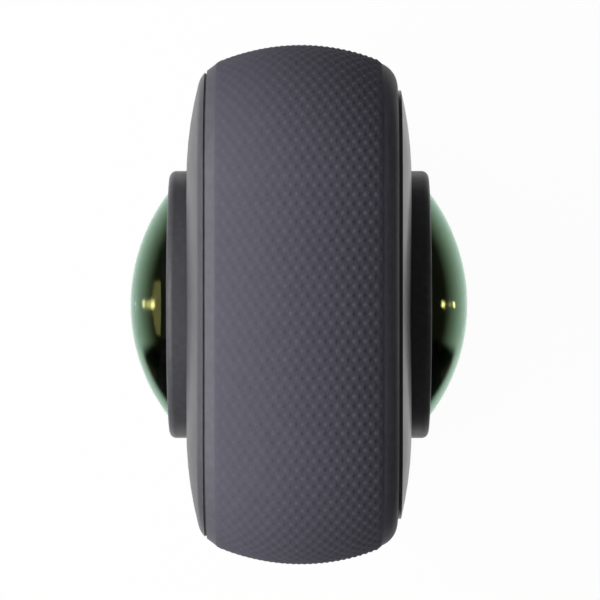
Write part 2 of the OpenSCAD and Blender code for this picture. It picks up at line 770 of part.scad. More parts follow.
// Rubber plug on the door that seals the port's opening
module port_door_seal() color("#2a2a2d")
  stadium_x(
    door_in_x - seal_t, door_in_x, 0, port_z, port_hole_w - 2 * seal_clear, port_hole_h - 2 * seal_clear
  );

// Steel pin of the port door, held in the frame on both sides
module port_door_pin() color("#b4b7bb")
  rod_y(door_axis_x, -door_y - panel_gap - over, door_y + panel_gap + over, door_z, door_pin_r);

// Memory card socket on the side board, open towards the battery bay
module card_socket() color("#b4b7bb") difference() {
  box(
    [bay_end_x + bay_wall, card_y - 2 * socket_wall, card_z - card_w / 2 - 2 * socket_wall],
    [socket_end_x, side_board_y, card_z + card_w / 2 + 2 * socket_wall]
  );
  box(
    [bay_end_x + bay_wall - over, card_y - slip, card_z - card_w / 2 - slip],
    [card_x + card_len + card_travel + slip, card_y + card_t + slip, card_z + card_w / 2 + slip]
  );
}

// Memory card, its end just inside the bay's end wall
module memory_card() color("#303136")
  translate([card_x, card_y, card_z - card_w / 2]) cube([card_len, card_t, card_w]);

// Loudspeaker behind the rear cover's slots
module speaker() color("#1c1c1f")
  box(
    [speaker_x() - speaker_size[0] / 2, rear_seat_y - speaker_size[1], speaker_z - speaker_size[2] / 2],
    [speaker_x() + speaker_size[0] / 2, rear_seat_y, speaker_z + speaker_size[2] / 2]
  );

// Heat spreader plate between the battery bay and the rear cover
module heat_spreader() color("#7f8287")
  box(
    [-core_x, bay_rear_y, case_low],
    [side_board_x[0] - spreader_gap, bay_rear_y + spreader_t, spreader_high]
  );

// Wireless antenna strip under the top wall of the frame
module wireless_antenna() color("#b0843c")
  translate([-antenna_size[0] / 2, -antenna_size[1] / 2, body_h - frame_wall - antenna_size[2]])
    cube(antenna_size);

// Row of round contacts between two stations of X
module contact_row(x0, x1) {
  for (i = [0 : contact_count - 1])
    rod_x(x0, x1, pack_mid_y, contact_z + i * contact_pitch, contact_pin_r);
}

// Battery bay: sleeve behind the frame's opening, with slots for the card and the contacts
module battery_bay() color("#2f2f33") difference() {
  box(
    [-inner_x, bay_front_y, case_low - bay_clear - bay_wall],
    [bay_end_x + bay_wall, bay_rear_y, case_high + bay_clear + bay_wall]
  );
  box(
    [-inner_x - over, pack_front_y - bay_clear, case_low - bay_clear],
    [bay_end_x, pack_rear_y + bay_clear, case_high + bay_clear]
  );
  box(
    [bay_end_x - over, card_y - slip, card_z - card_w / 2 - slip],
    [bay_end_x + bay_wall + over, card_y + card_t + slip, card_z + card_w / 2 + slip]
  );
  contact_row(bay_end_x - over, bay_end_x + bay_wall + over);
}

// Block that holds the battery contact pins behind the bay
module contact_block() color("#202124") difference() {
  box(
    [bay_end_x + bay_wall, pack_mid_y - contact_block_w, contact_block_low],
    [bay_end_x + bay_wall + contact_block_x, side_board_y, contact_block_low + contact_block_h]
  );
  contact_row(bay_end_x, bay_end_x + bay_wall + contact_pin_reach);
}

// Row of gold contact pins that touch the battery
module contact_pins() color("#c9a24a")
  contact_row(case_end_x, bay_end_x + bay_wall + contact_pin_reach);

// Room for a latch in the battery cover, with undercuts for its wings
module latch_slot(end) {
  edge_z = end > 0 ? pack_top : pack_z;
  half_w = latch_w / 2 + slip;
  near = edge_z + end * over;
  far = edge_z - end * (latch_len - latch_reach + latch_travel + slip);
  box([-side_x - over, -half_w, min(near, far)], [-pack_under_x + over, half_w, max(near, far)]);
  box(
    [-pack_under_x - latch_base_t - slip, -half_w - latch_wing, min(near, far)],
    [-pack_under_x + over, half_w + latch_wing, max(near, far)]
  );
}

// Battery cover: crowned outer wall of the battery, flush with the side band
module battery_cover() color("#55545c") difference() {
  intersection() {
    box([-side_x - over, -pack_w / 2, pack_z], [-pack_under_x, pack_w / 2, pack_top]);
    body_envelope(-band_y, band_y);
  }
  for (end = latch_ends) latch_slot(end);
}

// Battery latch: thumb slide with a tongue into the frame and wings under the cover
module battery_latch(end) color("#38373c") {
  tip = (end > 0 ? pack_top : pack_z) + end * latch_reach;
  heel = tip - end * latch_len;
  wing_tip = (end > 0 ? pack_top : pack_z) - end * slip;
  intersection() {
    box([-side_x, -latch_w / 2, min(tip, heel)], [-pack_under_x, latch_w / 2, max(tip, heel)]);
    translate([latch_recess, 0, 0]) body_envelope(-band_y, band_y);
  }
  for (side = [0, 1])
    mirror([0, side, 0]) box(
      [-pack_under_x - latch_base_t, latch_w / 2, min(wing_tip, heel)],
      [-pack_under_x, latch_w / 2 + latch_wing, max(wing_tip, heel)]
    );
}

// Battery case: box behind the cover that holds the cell
module battery_case() color("#232326") difference() {
  box([-pack_under_x, pack_front_y, case_low], [case_end_x - contact_size[0], pack_rear_y, case_high]);
  box(
    [-pack_under_x + pack_wall, pack_front_y + pack_wall, case_low + pack_wall],
    [case_end_x - contact_size[0] - pack_wall, pack_rear_y - pack_wall, case_high - pack_wall]
  );
}

// Battery cell, loose by a hair in its case
module battery_cell() color("#8a8c90") {
  inset = pack_wall + cell_gap;
  box(
    [-pack_under_x + inset, pack_front_y + inset, case_low + inset],
    [case_end_x - contact_size[0] - inset, pack_rear_y - inset, case_high - inset]
  );
}

// Rubber seal between the battery cover and the frame
module battery_seal() color("#1d1d20") {
  half_w = pack_w / 2 - seal_inset;
  difference() {
    box([-pack_under_x, -half_w, pack_z + seal_inset], [-pack_floor_x, half_w, pack_top - seal_inset]);
    box([-pack_under_x - over, pack_front_y, case_low], [-pack_floor_x + over, pack_rear_y, case_high]);
  }
}

// Gold contact pads on the inner end of the battery
module battery_contacts() color("#c9a24a")
  for (i = [0 : contact_count - 1])
    translate([
      case_end_x - contact_size[0],
      pack_mid_y - contact_size[1] / 2,
      contact_z + i * contact_pitch - contact_size[2] / 2
    ]) cube(contact_size);

// Threaded insert of the tripod mount, flush with the foot
module tripod_insert() color("#b4b7bb") difference() {
  union() {
    rod_z(0, 0, 0, insert_len, insert_r);
    rod_z(0, 0, 0, insert_flange_t, insert_flange_r);
  }
  rod_z(0, 0, -over, thread_depth, thread_r);
}

side_frame();
front_cover();
rear_cover();
lens_ring(-1);  // front_lens_ring
lens_ring(1);  // rear_lens_ring
lens_dome(-1);  // front_lens_dome
lens_dome(1);  // rear_lens_dome
lens_barrel(-1);  // front_lens_barrel
lens_barrel(1);  // rear_lens_barrel
second_lens(-1);  // front_second_lens
second_lens(1);  // rear_second_lens
field_lens(-1);  // front_field_lens
field_lens(1);  // rear_field_lens
image_sensor(-1);  // front_image_sensor
image_sensor(1);  // rear_image_sensor
sensor_board(-1);  // front_sensor_board
sensor_board(1);  // rear_sensor_board
lens_bracket();
bracket_screws();
screen_glass();
display_panel();
display_connector();
shutter_button();
shutter_trim();
shutter_switch();
status_light(-face_y, -front_seam_y, front_light_z);  // front_status_light
status_light(rear_seat_y, face_y, rear_light_z);  // rear_status_light
main_board();
processor_shield();
board_screws();
microphones();
power_button();
power_switch();
side_board();
usb_port();
usb_tongue();
port_door();
port_door_seal();
port_door_pin();
card_socket();
memory_card();
speaker();
heat_spreader();
wireless_antenna();
battery_bay();
contact_block();
contact_pins();
battery_cover();
battery_case();
battery_cell();
battery_seal();
battery_contacts();
battery_latch(1);  // upper_battery_latch
battery_latch(-1);  // lower_battery_latch
tripod_insert();
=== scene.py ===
"""Dresses the 360 degree camera: grip skins, shells, lenses, controls, battery and studio."""

import json
import logging
import math
from dataclasses import dataclass, replace
from enum import Enum
from typing import Callable, Sequence

import bpy
import numpy as np
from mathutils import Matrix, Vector


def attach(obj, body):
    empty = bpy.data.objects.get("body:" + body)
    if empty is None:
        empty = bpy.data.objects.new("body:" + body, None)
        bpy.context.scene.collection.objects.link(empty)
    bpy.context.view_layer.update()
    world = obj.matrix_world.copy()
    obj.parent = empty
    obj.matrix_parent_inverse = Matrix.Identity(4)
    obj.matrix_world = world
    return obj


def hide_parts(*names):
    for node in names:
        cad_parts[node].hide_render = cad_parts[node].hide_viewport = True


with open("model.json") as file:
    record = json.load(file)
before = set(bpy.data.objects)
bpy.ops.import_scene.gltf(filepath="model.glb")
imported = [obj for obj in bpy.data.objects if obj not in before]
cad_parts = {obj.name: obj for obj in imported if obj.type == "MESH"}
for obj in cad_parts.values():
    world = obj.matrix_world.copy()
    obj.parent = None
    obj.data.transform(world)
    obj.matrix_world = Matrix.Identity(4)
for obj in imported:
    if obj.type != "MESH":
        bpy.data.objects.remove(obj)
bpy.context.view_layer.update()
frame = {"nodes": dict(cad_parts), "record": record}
MM = 0.001
SHARP, SMOOTH = 40, 32  # degrees between faces: an edge that gets rounded, and a limit of smooth shading
LOG = logging.getLogger("camera")
MADE: dict[str, bpy.types.Material] = {}

Pair = tuple[float, float]
Triple = tuple[float, float, float]
Profile = Sequence[Pair]
Piece = bpy.types.Object
Socket = bpy.types.NodeSocket


# ---------------------------------------------------------------- hand modelling
class Bench:
    """Steps of modelling by hand, each on one object at a time."""

    @staticmethod
    def fresh() -> None:
        """Leaves edit mode and deselects everything."""
        if bpy.context.object and bpy.context.object.mode != "OBJECT":
            bpy.ops.object.mode_set(mode="OBJECT")
        bpy.ops.object.select_all(action="DESELECT")

    @staticmethod
    def pick(piece: Piece) -> None:
        """Selects one object alone and makes it active.

        Args:
            piece: the object.
        """
        Bench.fresh()
        piece.select_set(True)
        bpy.context.view_layer.objects.active = piece

    @staticmethod
    def start(name: str, add: Callable[..., object], **settings: object) -> Piece:
        """Adds a primitive at the origin and names it.

        Args:
            name: the piece's name.
            add: the operator that adds it.
            settings: the operator's own settings.

        Returns:
            The new object.
        """
        Bench.fresh()
        add(location=(0, 0, 0), **settings)
        piece = bpy.context.object
        piece.name = piece.data.name = name
        return piece

    @staticmethod
    def edit(piece: Piece, everything: bool = False, kind: str = "VERT") -> None:
        """Opens a piece in edit mode with all or none of it selected.

        Args:
            piece: the object to open.
            everything: select the whole mesh.
            kind: the select mode, FACE, EDGE or VERT.
        """
        Bench.pick(piece)
        bpy.ops.object.mode_set(mode="EDIT")
        bpy.ops.mesh.select_mode(type=kind)
        bpy.ops.mesh.select_all(action="SELECT" if everything else "DESELECT")

    @staticmethod
    def close() -> None:
        """Goes back to object mode."""
        bpy.ops.object.mode_set(mode="OBJECT")

    @staticmethod
    def choose(piece: Piece, kind: str, test: Callable[[object], bool]) -> None:
        """Selects the faces, edges or vertices that pass a test, then opens edit mode.

        Args:
            piece: the object.
            kind: FACE, EDGE or VERT.
            test: takes the face, edge or vertex and says whether it is selected.
        """
        Bench.edit(piece, kind=kind)
        Bench.close()
        mesh = piece.data
        for item in {"FACE": mesh.polygons, "EDGE": mesh.edges, "VERT": mesh.vertices}[kind]:
            item.select = test(item)
        bpy.ops.object.mode_set(mode="EDIT")

    @staticmethod
    def mark(piece: Piece, kind: str, test: Callable[[Vector], bool]) -> None:
        """Selects the faces, edges or vertices whose middle passes a test, then opens edit mode.

        Args:
            piece: the object.
            kind: FACE, EDGE or VERT.
            test: takes a middle point in metres and says whether it is selected.
        """
        middles = {
            "FACE": lambda face: face.center,
            "EDGE": lambda edge: sum((piece.data.vertices[i].co for i in edge.vertices), Vector()) / 2,
            "VERT": lambda vert: vert.co,
        }
        Bench.choose(piece, kind, lambda item: test(middles[kind](item)))

    @staticmethod
    def clean(piece: Piece, reach: float = 1e-7) -> None:
        """Merges doubles and turns the faces outwards.

        Args:
            piece: the object.
            reach: the merge distance in metres.
        """
        Bench.edit(piece, True)
        bpy.ops.mesh.remove_doubles(threshold=reach)
        bpy.ops.mesh.normals_make_consistent(inside=False)
        Bench.close()

    @staticmethod
    def soften(piece: Piece, angle: float = 35) -> None:
        """Shades a piece smooth where faces meet below an angle in degrees."""
        Bench.pick(piece)
        bpy.ops.object.shade_smooth_by_angle(angle=math.radians(angle))

    @staticmethod
    def modify(piece: Piece, kind: str, **settings: object) -> None:
        """Adds a modifier, sets it and applies it.

        Args:
            piece: the object.
            kind: the modifier's type.
            settings: its properties.
        """
        Bench.pick(piece)
        modifier = piece.modifiers.new(kind.lower(), kind)
        for key, value in settings.items():
            setattr(modifier, key, value)
        bpy.ops.object.modifier_apply(modifier=modifier.name)

    @staticmethod
    def lathe(name: str, profile: Profile, centre: Pair = (0.0, 0.0), steps: int = 128,
              angle: float = 35, upright: bool = False) -> Piece:
        """Spins a profile about an axis that runs along Y, or along Z.

        Args:
            name: the piece's name.
            profile: (radius, place along the axis) points in mm, in order.
            centre: the axis' x and z in mm, or its x and y.
            steps: facets round the axis.
            angle: smoothing angle in degrees.
            upright: the axis runs along Z.

        Returns:
            The turned piece.
        """
        u, v = centre
        points = [Vector((u + r, v, a) if upright else (u + r, a, v)) * MM for r, a in profile]
        piece = Bench.start(name, bpy.ops.mesh.primitive_plane_add, size=MM)
        Bench.edit(piece, True)
        bpy.ops.mesh.merge(type="CENTER")
        bpy.ops.transform.translate(value=points[0])
        for start, end in zip(points, points[1:]):
            bpy.ops.mesh.extrude_region_move(TRANSFORM_OT_translate={"value": end - start})
        bpy.ops.mesh.select_all(action="SELECT")
        middle, axis = ((u, v, 0), (0, 0, 1)) if upright else ((u, 0, v), (0, 1, 0))
        bpy.ops.mesh.spin(steps=steps, angle=math.tau, axis=axis, center=Vector(middle) * MM)
        Bench.close()
        Bench.clean(piece)
        Bench.soften(piece, angle)
        return piece

    @staticmethod
    def from_node(node: str, name: str, bevel: float = 0.0) -> Piece:
        """Copies a CAD node's mesh, merges its loose triangles and shades it smooth.

        Args:
            node: the CAD node.
            name: the new piece's name.
            bevel: width in mm of the rounding on its sharp edges.

        Returns:
            The copy, which stands for the node.
        """
        source = frame["nodes"][node]
        piece = bpy.data.objects.new(name, source.data.copy())
        piece.data.name = name
        bpy.context.scene.collection.objects.link(piece)
        Bench.edit(piece, True)
        bpy.ops.mesh.customdata_custom_splitnormals_clear()
        bpy.ops.mesh.remove_doubles(threshold=2e-6)
        Bench.close()
        if bevel:
            Bench.modify(piece, "DECIMATE", decimate_type="DISSOLVE", angle_limit=math.radians(0.5))
            Bench.modify(piece, "BEVEL", width=bevel * MM, segments=3, limit_method="ANGLE",
                         angle_limit=math.radians(SHARP))
        Bench.soften(piece, SHARP if bevel else SMOOTH)
        Bench.modify(piece, "WEIGHTED_NORMAL", keep_sharp=True, weight=50)
        return piece

    @staticmethod
    def block(name: str, low: Triple, high: Triple, bevel: float, segments: int = 3) -> Piece:
        """Makes a block with rounded edges.

        Args:
            name: the piece's name.
            low: its lowest corner in mm.
            high: its highest corner in mm.
            bevel: the edge radius in mm.
            segments: steps in each edge.

        Returns:
            The block.
        """
        piece = Bench.start(name, bpy.ops.mesh.primitive_cube_add, size=1)
        Bench.edit(piece, True)
        bpy.ops.transform.resize(value=[(b - a) * MM for a, b in zip(low, high)])
        bpy.ops.transform.translate(value=[(a + b) / 2 * MM for a, b in zip(low, high)])
        bpy.ops.mesh.bevel(offset=bevel * MM, segments=segments, affect="EDGES", profile=0.5)
        Bench.close()
        Bench.soften(piece, 50)
        return piece

    @staticmethod
    def row(piece: Piece, count: int, step: Triple) -> None:
        """Repeats a piece's mesh in a row of count, each a step in mm from the last."""
        Bench.modify(piece, "ARRAY", count=count, use_relative_offset=False, use_constant_offset=True,
                     constant_offset_displace=[v * MM for v in step])

    @staticmethod
    def join(*pieces: Piece) -> Piece:
        """Joins pieces.

        Args:
            pieces: the objects, the first of which takes in the others.

        Returns:
            The joined object.
        """
        Bench.fresh()
        for piece in pieces:
            piece.select_set(True)
        bpy.context.view_layer.objects.active = pieces[0]
        bpy.ops.object.join()
        return pieces[0]


def rounded(points: Profile, radii: Sequence[float], arcs: int = 6) -> list[Pair]:
    """Rounds the corners of an open profile.

    Args:
        points: the corner points in mm.
        radii: one fillet radius for each point, 0 for sharp.
        arcs: segments in each fillet.

    Returns:
        The profile with arcs in place of its corners.
    """
    out: list[Pair] = []
    for i, (point, radius) in enumerate(zip(points, radii)):
        here = Vector(point)
        if radius <= 0 or i in (0, len(points) - 1):
            out.append(tuple(here))
            continue
        back = (Vector(points[i - 1]) - here).normalized()
        ahead = (Vector(points[i + 1]) - here).normalized()
        half = back.angle(ahead) / 2
        reach = radius / math.tan(half)
        middle = here + (back + ahead).normalized() * (radius / math.sin(half))
        start, end = here + back * reach - middle, here + ahead * reach - middle
        turn = math.atan2(start.x * end.y - start.y * end.x, start.dot(end))
        for k in range(arcs + 1):
            a = turn * k / arcs
            out.append((middle.x + start.x * math.cos(a) - start.y * math.sin(a),
                        middle.y + start.x * math.sin(a) + start.y * math.cos(a)))
    return out


# ---------------------------------------------------------------- finishes
class Wires:
    """A node tree with short helpers."""

    def __init__(self, tree: bpy.types.NodeTree) -> None:
        """Empties the tree."""
        self.tree = tree
        tree.nodes.clear()

    def feed(self, value: object, socket: Socket) -> None:
        """Links an input to a socket, or sets a uniform value straight on it.

        Args:
            value: a socket or a uniform value.
            socket: the input that takes it.
        """
        if isinstance(value, Socket):
            self.tree.links.new(value, socket)
        else:
            socket.default_value = value

    def fill(self, node: bpy.types.Node, **values: object) -> None:
        """Feeds a node's inputs, named with _ for a space."""
        for name, value in values.items():
            self.feed(value, node.inputs[name.replace("_", " ")])

    def add(self, kind: str, **values: object) -> bpy.types.Node:
        """Adds a node and feeds its inputs.

        Args:
            kind: the node's type.
            values: sockets or uniform values for its inputs, with _ for a space in the name.

        Returns:
            The node.
        """
        node = self.tree.nodes.new(kind)
        self.fill(node, **values)
        return node

    def place(self, space: str, *axes: str) -> list[Socket]:
        """Gives sockets for chosen axes of a texture coordinate."""
        split = self.add("ShaderNodeSeparateXYZ", Vector=self.add("ShaderNodeTexCoord").outputs[space])
        return [split.outputs[axis] for axis in axes]

    def math(self, operation: str, *values: object) -> Socket:
        """Adds a Math node.

        Args:
            operation: its operation.
            values: sockets or numbers for its inputs.

        Returns:
            The result's socket.
        """
        node = self.add("ShaderNodeMath")
        node.operation = operation
        for value, socket in zip(values, node.inputs):
            self.feed(value, socket)
        return node.outputs[0]

    def ramp(self, value: Socket, start: float, end: float, low: float, high: float,
             kind: str = "SMOOTHSTEP") -> Socket:
        """Takes a value from low at start to high at end.

        Args:
            value: the socket to map.
            start: lower end of the input.
            end: upper end of the input.
            low: the result at start.
            high: the result at end.
            kind: the interpolation.

        Returns:
            The mapped socket.
        """
        node = self.add("ShaderNodeMapRange", Value=value, From_Min=start, From_Max=end, To_Min=low,
                        To_Max=high)
        node.interpolation_type = kind
        return node.outputs[0]


@dataclass(frozen=True)
class Texture:
    """What a grain varies: a noise is its features per metre, its octaves and, if drawn out, its stretch."""

    tint: tuple | None
    gloss: tuple
    less: float
    more: float
    bump: tuple | None = None
    bump_share: float = 1.0


DRAWN = (1, 1, 0.02)
SMEAR = (1, 1, 0.35)


class Grain(Enum):
    """The kinds of surface detail, each with its noise for the colour, the gloss and the bump."""

    ERODED = Texture((1400, 4), (420, 4), 0.02, 0.03, (5200, 2))
    TURNED = Texture((1800, 3), (400, 3), 0.06, 0.06, (6000, 2), 0.6)
    BRUSHED = Texture((6000, 2, DRAWN), (6000, 2, DRAWN), 0.08, 0.1, (900, 2))
    SOFT = Texture((700, 4), (300, 2), 0.08, 0.08, (2600, 3))
    BOARD = Texture(None, (900, 2), 0.05, 0.1)
    FOIL = Texture((330, 5), (140, 3), 0.05, 0.1, (330, 5))
    POLISHED = Texture((90, 2), (110, 5, SMEAR), 0.03, 0.05)
    PANEL = Texture(None, (110, 5, SMEAR), 0.02, 0.04)


class Graph(Wires):
    """A material's node tree round one Principled shader."""

    def __init__(self, name: str) -> None:
        """Starts the material with its shader and Object coordinates.

        Args:
            name: the material's name.
        """
        self.material = bpy.data.materials.new(name)
        self.material.use_nodes = True
        super().__init__(self.material.node_tree)
        self.shader = self.add("ShaderNodeBsdfPrincipled")
        self.add("ShaderNodeOutputMaterial", Surface=self.shader.outputs[0])
        self.coords = self.add("ShaderNodeTexCoord").outputs["Object"]

    def put(self, **values: object) -> None:
        """Feeds the shader's inputs, named with _ for a space."""
        self.fill(self.shader, **values)

    def mapped(self, stretch: Triple = (1, 1, 1), shift: Triple = (0, 0, 0)) -> Socket:
        """Gives Object coordinates, scaled along the axes and then shifted."""
        return self.add("ShaderNodeMapping", Vector=self.coords, Scale=stretch, Location=shift).outputs[0]

    def noise(self, scale: float, detail: float = 3, stretch: Triple = (1, 1, 1)) -> Socket:
        """Adds noise on Object coordinates.

        Args:
            scale: features per metre.
            detail: octaves.
            stretch: scale factors along the axes.

        Returns:
            The noise value socket.
        """
        node = self.add("ShaderNodeTexNoise", Vector=self.mapped(stretch), Scale=scale, Detail=detail)
        return node.outputs["Fac"]

    def spread(self, value: Socket, low: float, high: float, start: float = 0.3, end: float = 0.7) -> Socket:
        """Maps a value evenly to low up to high, by default over the range where noise mostly lies."""
        return self.ramp(value, start, end, low, high, "LINEAR")

    def blend(self, factor: Socket, first: Triple | Socket, second: Triple | Socket) -> Socket:
        """Mixes two colours or colour sockets.

        Args:
            factor: the mix factor socket.
            first: the colour at 0.
            second: the colour at 1.

        Returns:
            The mixed colour socket.
        """
        node = self.add("ShaderNodeMix")
        node.data_type = "RGBA"
        self.feed(factor, node.inputs[0])
        for index, colour in ((6, first), (7, second)):
            self.feed(colour if isinstance(colour, Socket) else (*colour, 1), node.inputs[index])
        return node.outputs[2]

    def bump(self, height: Socket, depth: float, after: Socket | None = None) -> Socket:
        """Adds a bump and links it to the shader's normal.

        Args:
            height: the height socket.
            depth: the depth of the bump in mm.
            after: an earlier bump to build on.

        Returns:
            The bump's normal socket.
        """
        node = self.add("ShaderNodeBump", Height=height, Distance=depth * MM)
        if after is not None:
            self.fill(node, Normal=after)
        self.put(Normal=node.outputs[0])
        return node.outputs[0]


@dataclass(frozen=True)
class Finish:
    """A surface finish: its colour, gloss and grain, with lengths in mm."""

    name: str
    colour: Triple
    roughness: float
    grain: Grain = Grain.ERODED
    metallic: float = 0.0
    specular: float = 0.5
    coat: float = 0.0
    coat_rough: float = 0.15
    mottle: float = 0.12
    depth: float = 0.02
    centre: Pair = (0.0, 0.0)
    panel_r: Pair = (13.45, 13.55)

    def shade(self, factor: float) -> Triple:
        """Gives the colour made lighter or darker by a factor."""
        return tuple(min(1.0, c * factor) for c in self.colour)

    def material(self) -> bpy.types.Material:
        """Gives the node material, which is built the first time.

        Returns:
            The material.
        """
        if self.name not in MADE:
            graph = Graph(self.name)
            MADE[self.name] = graph.material
            self._build(graph)
        return MADE[self.name]

    def dress(self, *pieces: Piece) -> None:
        """Puts the finish on in place of what was there.

        Args:
            pieces: the pieces or CAD nodes.
        """
        for piece in pieces:
            piece.data.materials.clear()
            piece.data.materials.append(self.material())

    def _build(self, graph: Graph) -> None:
        """Sets the uniform values and adds the grain.

        Args:
            graph: the material's node tree.
        """
        graph.put(Metallic=self.metallic, Specular_IOR_Level=self.specular, Coat_Weight=self.coat,
                  Coat_Roughness=self.coat_rough)
        self._texture(graph)

    def _texture(self, graph: Graph) -> None:
        """Adds the grain's noise, over the pattern that some grains have.

        Args:
            graph: the material's node tree.
        """
        grain = self.grain.value
        if grain.tint:
            self._tint(graph, graph.noise(*grain.tint))
        self._gloss(graph, graph.noise(*grain.gloss), grain.less, grain.more)
        patterns = {Grain.TURNED: self._rings, Grain.BOARD: self._runs, Grain.PANEL: self._border}
        below = patterns[self.grain](graph) if self.grain in patterns else None
        if grain.bump:
            graph.bump(graph.noise(*grain.bump), self.depth * grain.bump_share, below)

    def _tint(self, graph: Graph, value: Socket) -> None:
        """Varies the base colour by a noise value."""
        dark, light = self.shade(1 - self.mottle), self.shade(1 + self.mottle)
        graph.put(Base_Color=graph.blend(graph.spread(value, 0, 1), dark, light))

    def _gloss(self, graph: Graph, value: Socket, less: float, more: float) -> None:
        """Varies the roughness by a noise value, from less to more than the finish's own."""
        graph.put(Roughness=graph.spread(value, self.roughness - less, self.roughness + more))

    def _about(self, graph: Graph, stretch: Triple = (1, 1, 1)) -> Socket:
        """Gives coordinates about the finish's centre."""
        return graph.mapped(stretch, (-self.centre[0] * MM, 0, -self.centre[1] * MM))

    def _rings(self, graph: Graph) -> Socket:
        """Cuts fine rings about an axis along Y, through the finish's centre.

        Args:
            graph: the material's node tree.

        Returns:
            The rings' bump.
        """
        wave = graph.add("ShaderNodeTexWave", Vector=self._about(graph), Scale=1400, Distortion=1.5)
        wave.wave_type, wave.rings_direction = "RINGS", "Y"
        return graph.bump(wave.outputs["Fac"], self.depth)

    def _border(self, graph: Graph) -> None:
        """Shows the panel faintly behind the glass, with a black border.

        Args:
            graph: the material's node tree.
        """
        length = graph.add("ShaderNodeVectorMath", Vector=self._about(graph, (1, 0, 1)))
        length.operation = "LENGTH"
        border = graph.spread(length.outputs["Value"], 0, 1, *(r * MM for r in self.panel_r))
        graph.put(Base_Color=graph.blend(border, self.colour, self.shade(0.25)))

    def _runs(self, graph: Graph) -> None:
        """Shows straight copper runs through the solder mask.

        Args:
            graph: the material's node tree.
        """
        mask, light, copper = ((*self.shade(factor), 1) for factor in (0.8, 1.0, 2.1))
        cells = graph.add("ShaderNodeTexBrick", Vector=graph.coords, Scale=420, Mortar_Size=0.035,
                          Color1=mask, Color2=light, Mortar=copper)
        graph.put(Base_Color=cells.outputs["Color"])
        graph.bump(cells.outputs["Fac"], self.depth)


@dataclass(frozen=True)
class GripFinish(Finish):
    """The grip's moulding: its crests are handled lighter and smoother than its grooves, which are painted
    darker as painted shade.
    """

    wear_and_shade: float = 1.07
    # colour factors below 1 for the grooves: painted shade in the recesses
    grooves: Pair = (0.88, 0.97)

    def _texture(self, graph: Graph) -> None:
        """Adds fine grain over grooves and crests, which the crest attribute tells apart; the grooves get
        painted shade and the crests lighter wear.

        Args:
            graph: the material's node tree.
        """
        node = graph.add("ShaderNodeAttribute")
        node.attribute_name = "crest"
        crest = node.outputs["Fac"]
        cloud = graph.spread(graph.noise(900, 4), 0, 1)
        # the groove colour is darkened: painted shade
        groove = graph.blend(cloud, *(self.shade(factor) for factor in self.grooves))
        top = graph.blend(cloud, self.colour, self.shade(self.wear_and_shade))
        graph.put(Base_Color=graph.blend(crest, groove, top),
                  Roughness=graph.spread(crest, self.roughness + 0.1, self.roughness, 0, 1))
        graph.bump(graph.noise(*self.grain.value.bump), self.depth)


@dataclass(frozen=True)
class GlassFinish(Finish):
    """Clear coated glass that lets light through; its film is in nm."""

    ior: float = 1.5
    film: float = 0.0
    film_ior: float = 1.38
    gleam: Triple = (1.0, 1.0, 1.0)

    def _build(self, graph: Graph) -> None:
        """Sets the glass and its coating, with a trace of colour and gloss variation.

        Args:
            graph: the material's node tree.
        """
        graph.put(Transmission_Weight=1.0, IOR=self.ior, Thin_Film_Thickness=self.film,
                  Thin_Film_IOR=self.film_ior, Specular_IOR_Level=self.specular, Coat_Weight=self.coat,
                  Specular_Tint=(*self.gleam, 1))
        self._tint(graph, graph.noise(60, 2))
        self._gloss(graph, graph.noise(150, 4), 0.0, 0.02)


LENS_Z = 90.0
GRIP = GripFinish("grip_moulding", (0.090, 0.086, 0.110), 0.66, specular=0.07, depth=0.012)
BAND = Finish("band_moulding", (0.091, 0.088, 0.105), 0.52, specular=0.14, mottle=0.08, depth=0.010)
COVER = Finish("cover_moulding", (0.066, 0.0643, 0.0733), 0.50, specular=0.20, coat=0.15, coat_rough=0.22,
               mottle=0.07, depth=0.012)
REAR = replace(COVER, name="rear_moulding", roughness=0.42, specular=0.26, coat=0.28, coat_rough=0.16)
RING = Finish("ring_anodised", (0.062, 0.061, 0.068), 0.42, Grain.TURNED, specular=0.20, depth=0.006,
              centre=(0, LENS_Z))
DOME = GlassFinish("dome_crown_glass", (0.90, 0.99, 0.93), 0.0, Grain.POLISHED, mottle=0.01, specular=0.4,
                   ior=1.6, film=270, gleam=(0.6, 1.0, 0.75))
INNER = Finish("second_glass", (0.017, 0.0165, 0.0055), 0.08, Grain.POLISHED, metallic=1.0, mottle=0.08)
PUPIL = Finish("pupil_glass", (0.010, 0.010, 0.014), 0.05, Grain.POLISHED, mottle=0.2, specular=0.7)
HOLDER = Finish("holder_black", (0.012, 0.012, 0.012), 0.35, Grain.POLISHED, specular=0.4)
PAINT = Finish("edge_paint", (0.003, 0.003, 0.003), 0.8, Grain.SOFT, specular=0.0, depth=0.004)
BARREL = Finish("barrel_dull_black", (0.006, 0.006, 0.007), 0.65, Grain.TURNED, specular=0.2, depth=0.01,
                centre=(0, LENS_Z))
SENSOR = Finish("sensor_window", (0.03, 0.045, 0.075), 0.12, Grain.POLISHED, coat=0.6)
BOARD = Finish("solder_mask", (0.012, 0.075, 0.045), 0.35, Grain.BOARD, coat=0.2)
PLATE = Finish("bare_plate", (0.55, 0.56, 0.58), 0.32, Grain.BRUSHED, metallic=1.0, depth=0.006)
STEEL = Finish("bright_steel", (0.52, 0.53, 0.55), 0.24, Grain.BRUSHED, metallic=1.0, depth=0.004)
SCREEN = Finish("screen_glass", (0.016, 0.017, 0.022), 0.06, Grain.PANEL, centre=(0, 51.91))
DISPLAY = Finish("display_panel", (0.010, 0.011, 0.014), 0.2, Grain.POLISHED)
BUTTON = Finish("button_moulding", (0.066, 0.064, 0.075), 0.38, specular=0.4, depth=0.008)
BEZEL = Finish("bezel_polished", (0.02, 0.02, 0.022), 0.16, Grain.POLISHED, specular=0.6)
MESH = Finish("speaker_cloth", (0.03, 0.03, 0.032), 0.4, Grain.BRUSHED, metallic=0.8, depth=0.004)
TRIM = Finish("trim_spun", (0.30, 0.30, 0.32), 0.24, Grain.TURNED, metallic=1.0, mottle=0.03, depth=0.003,
              centre=(0, 22.57))
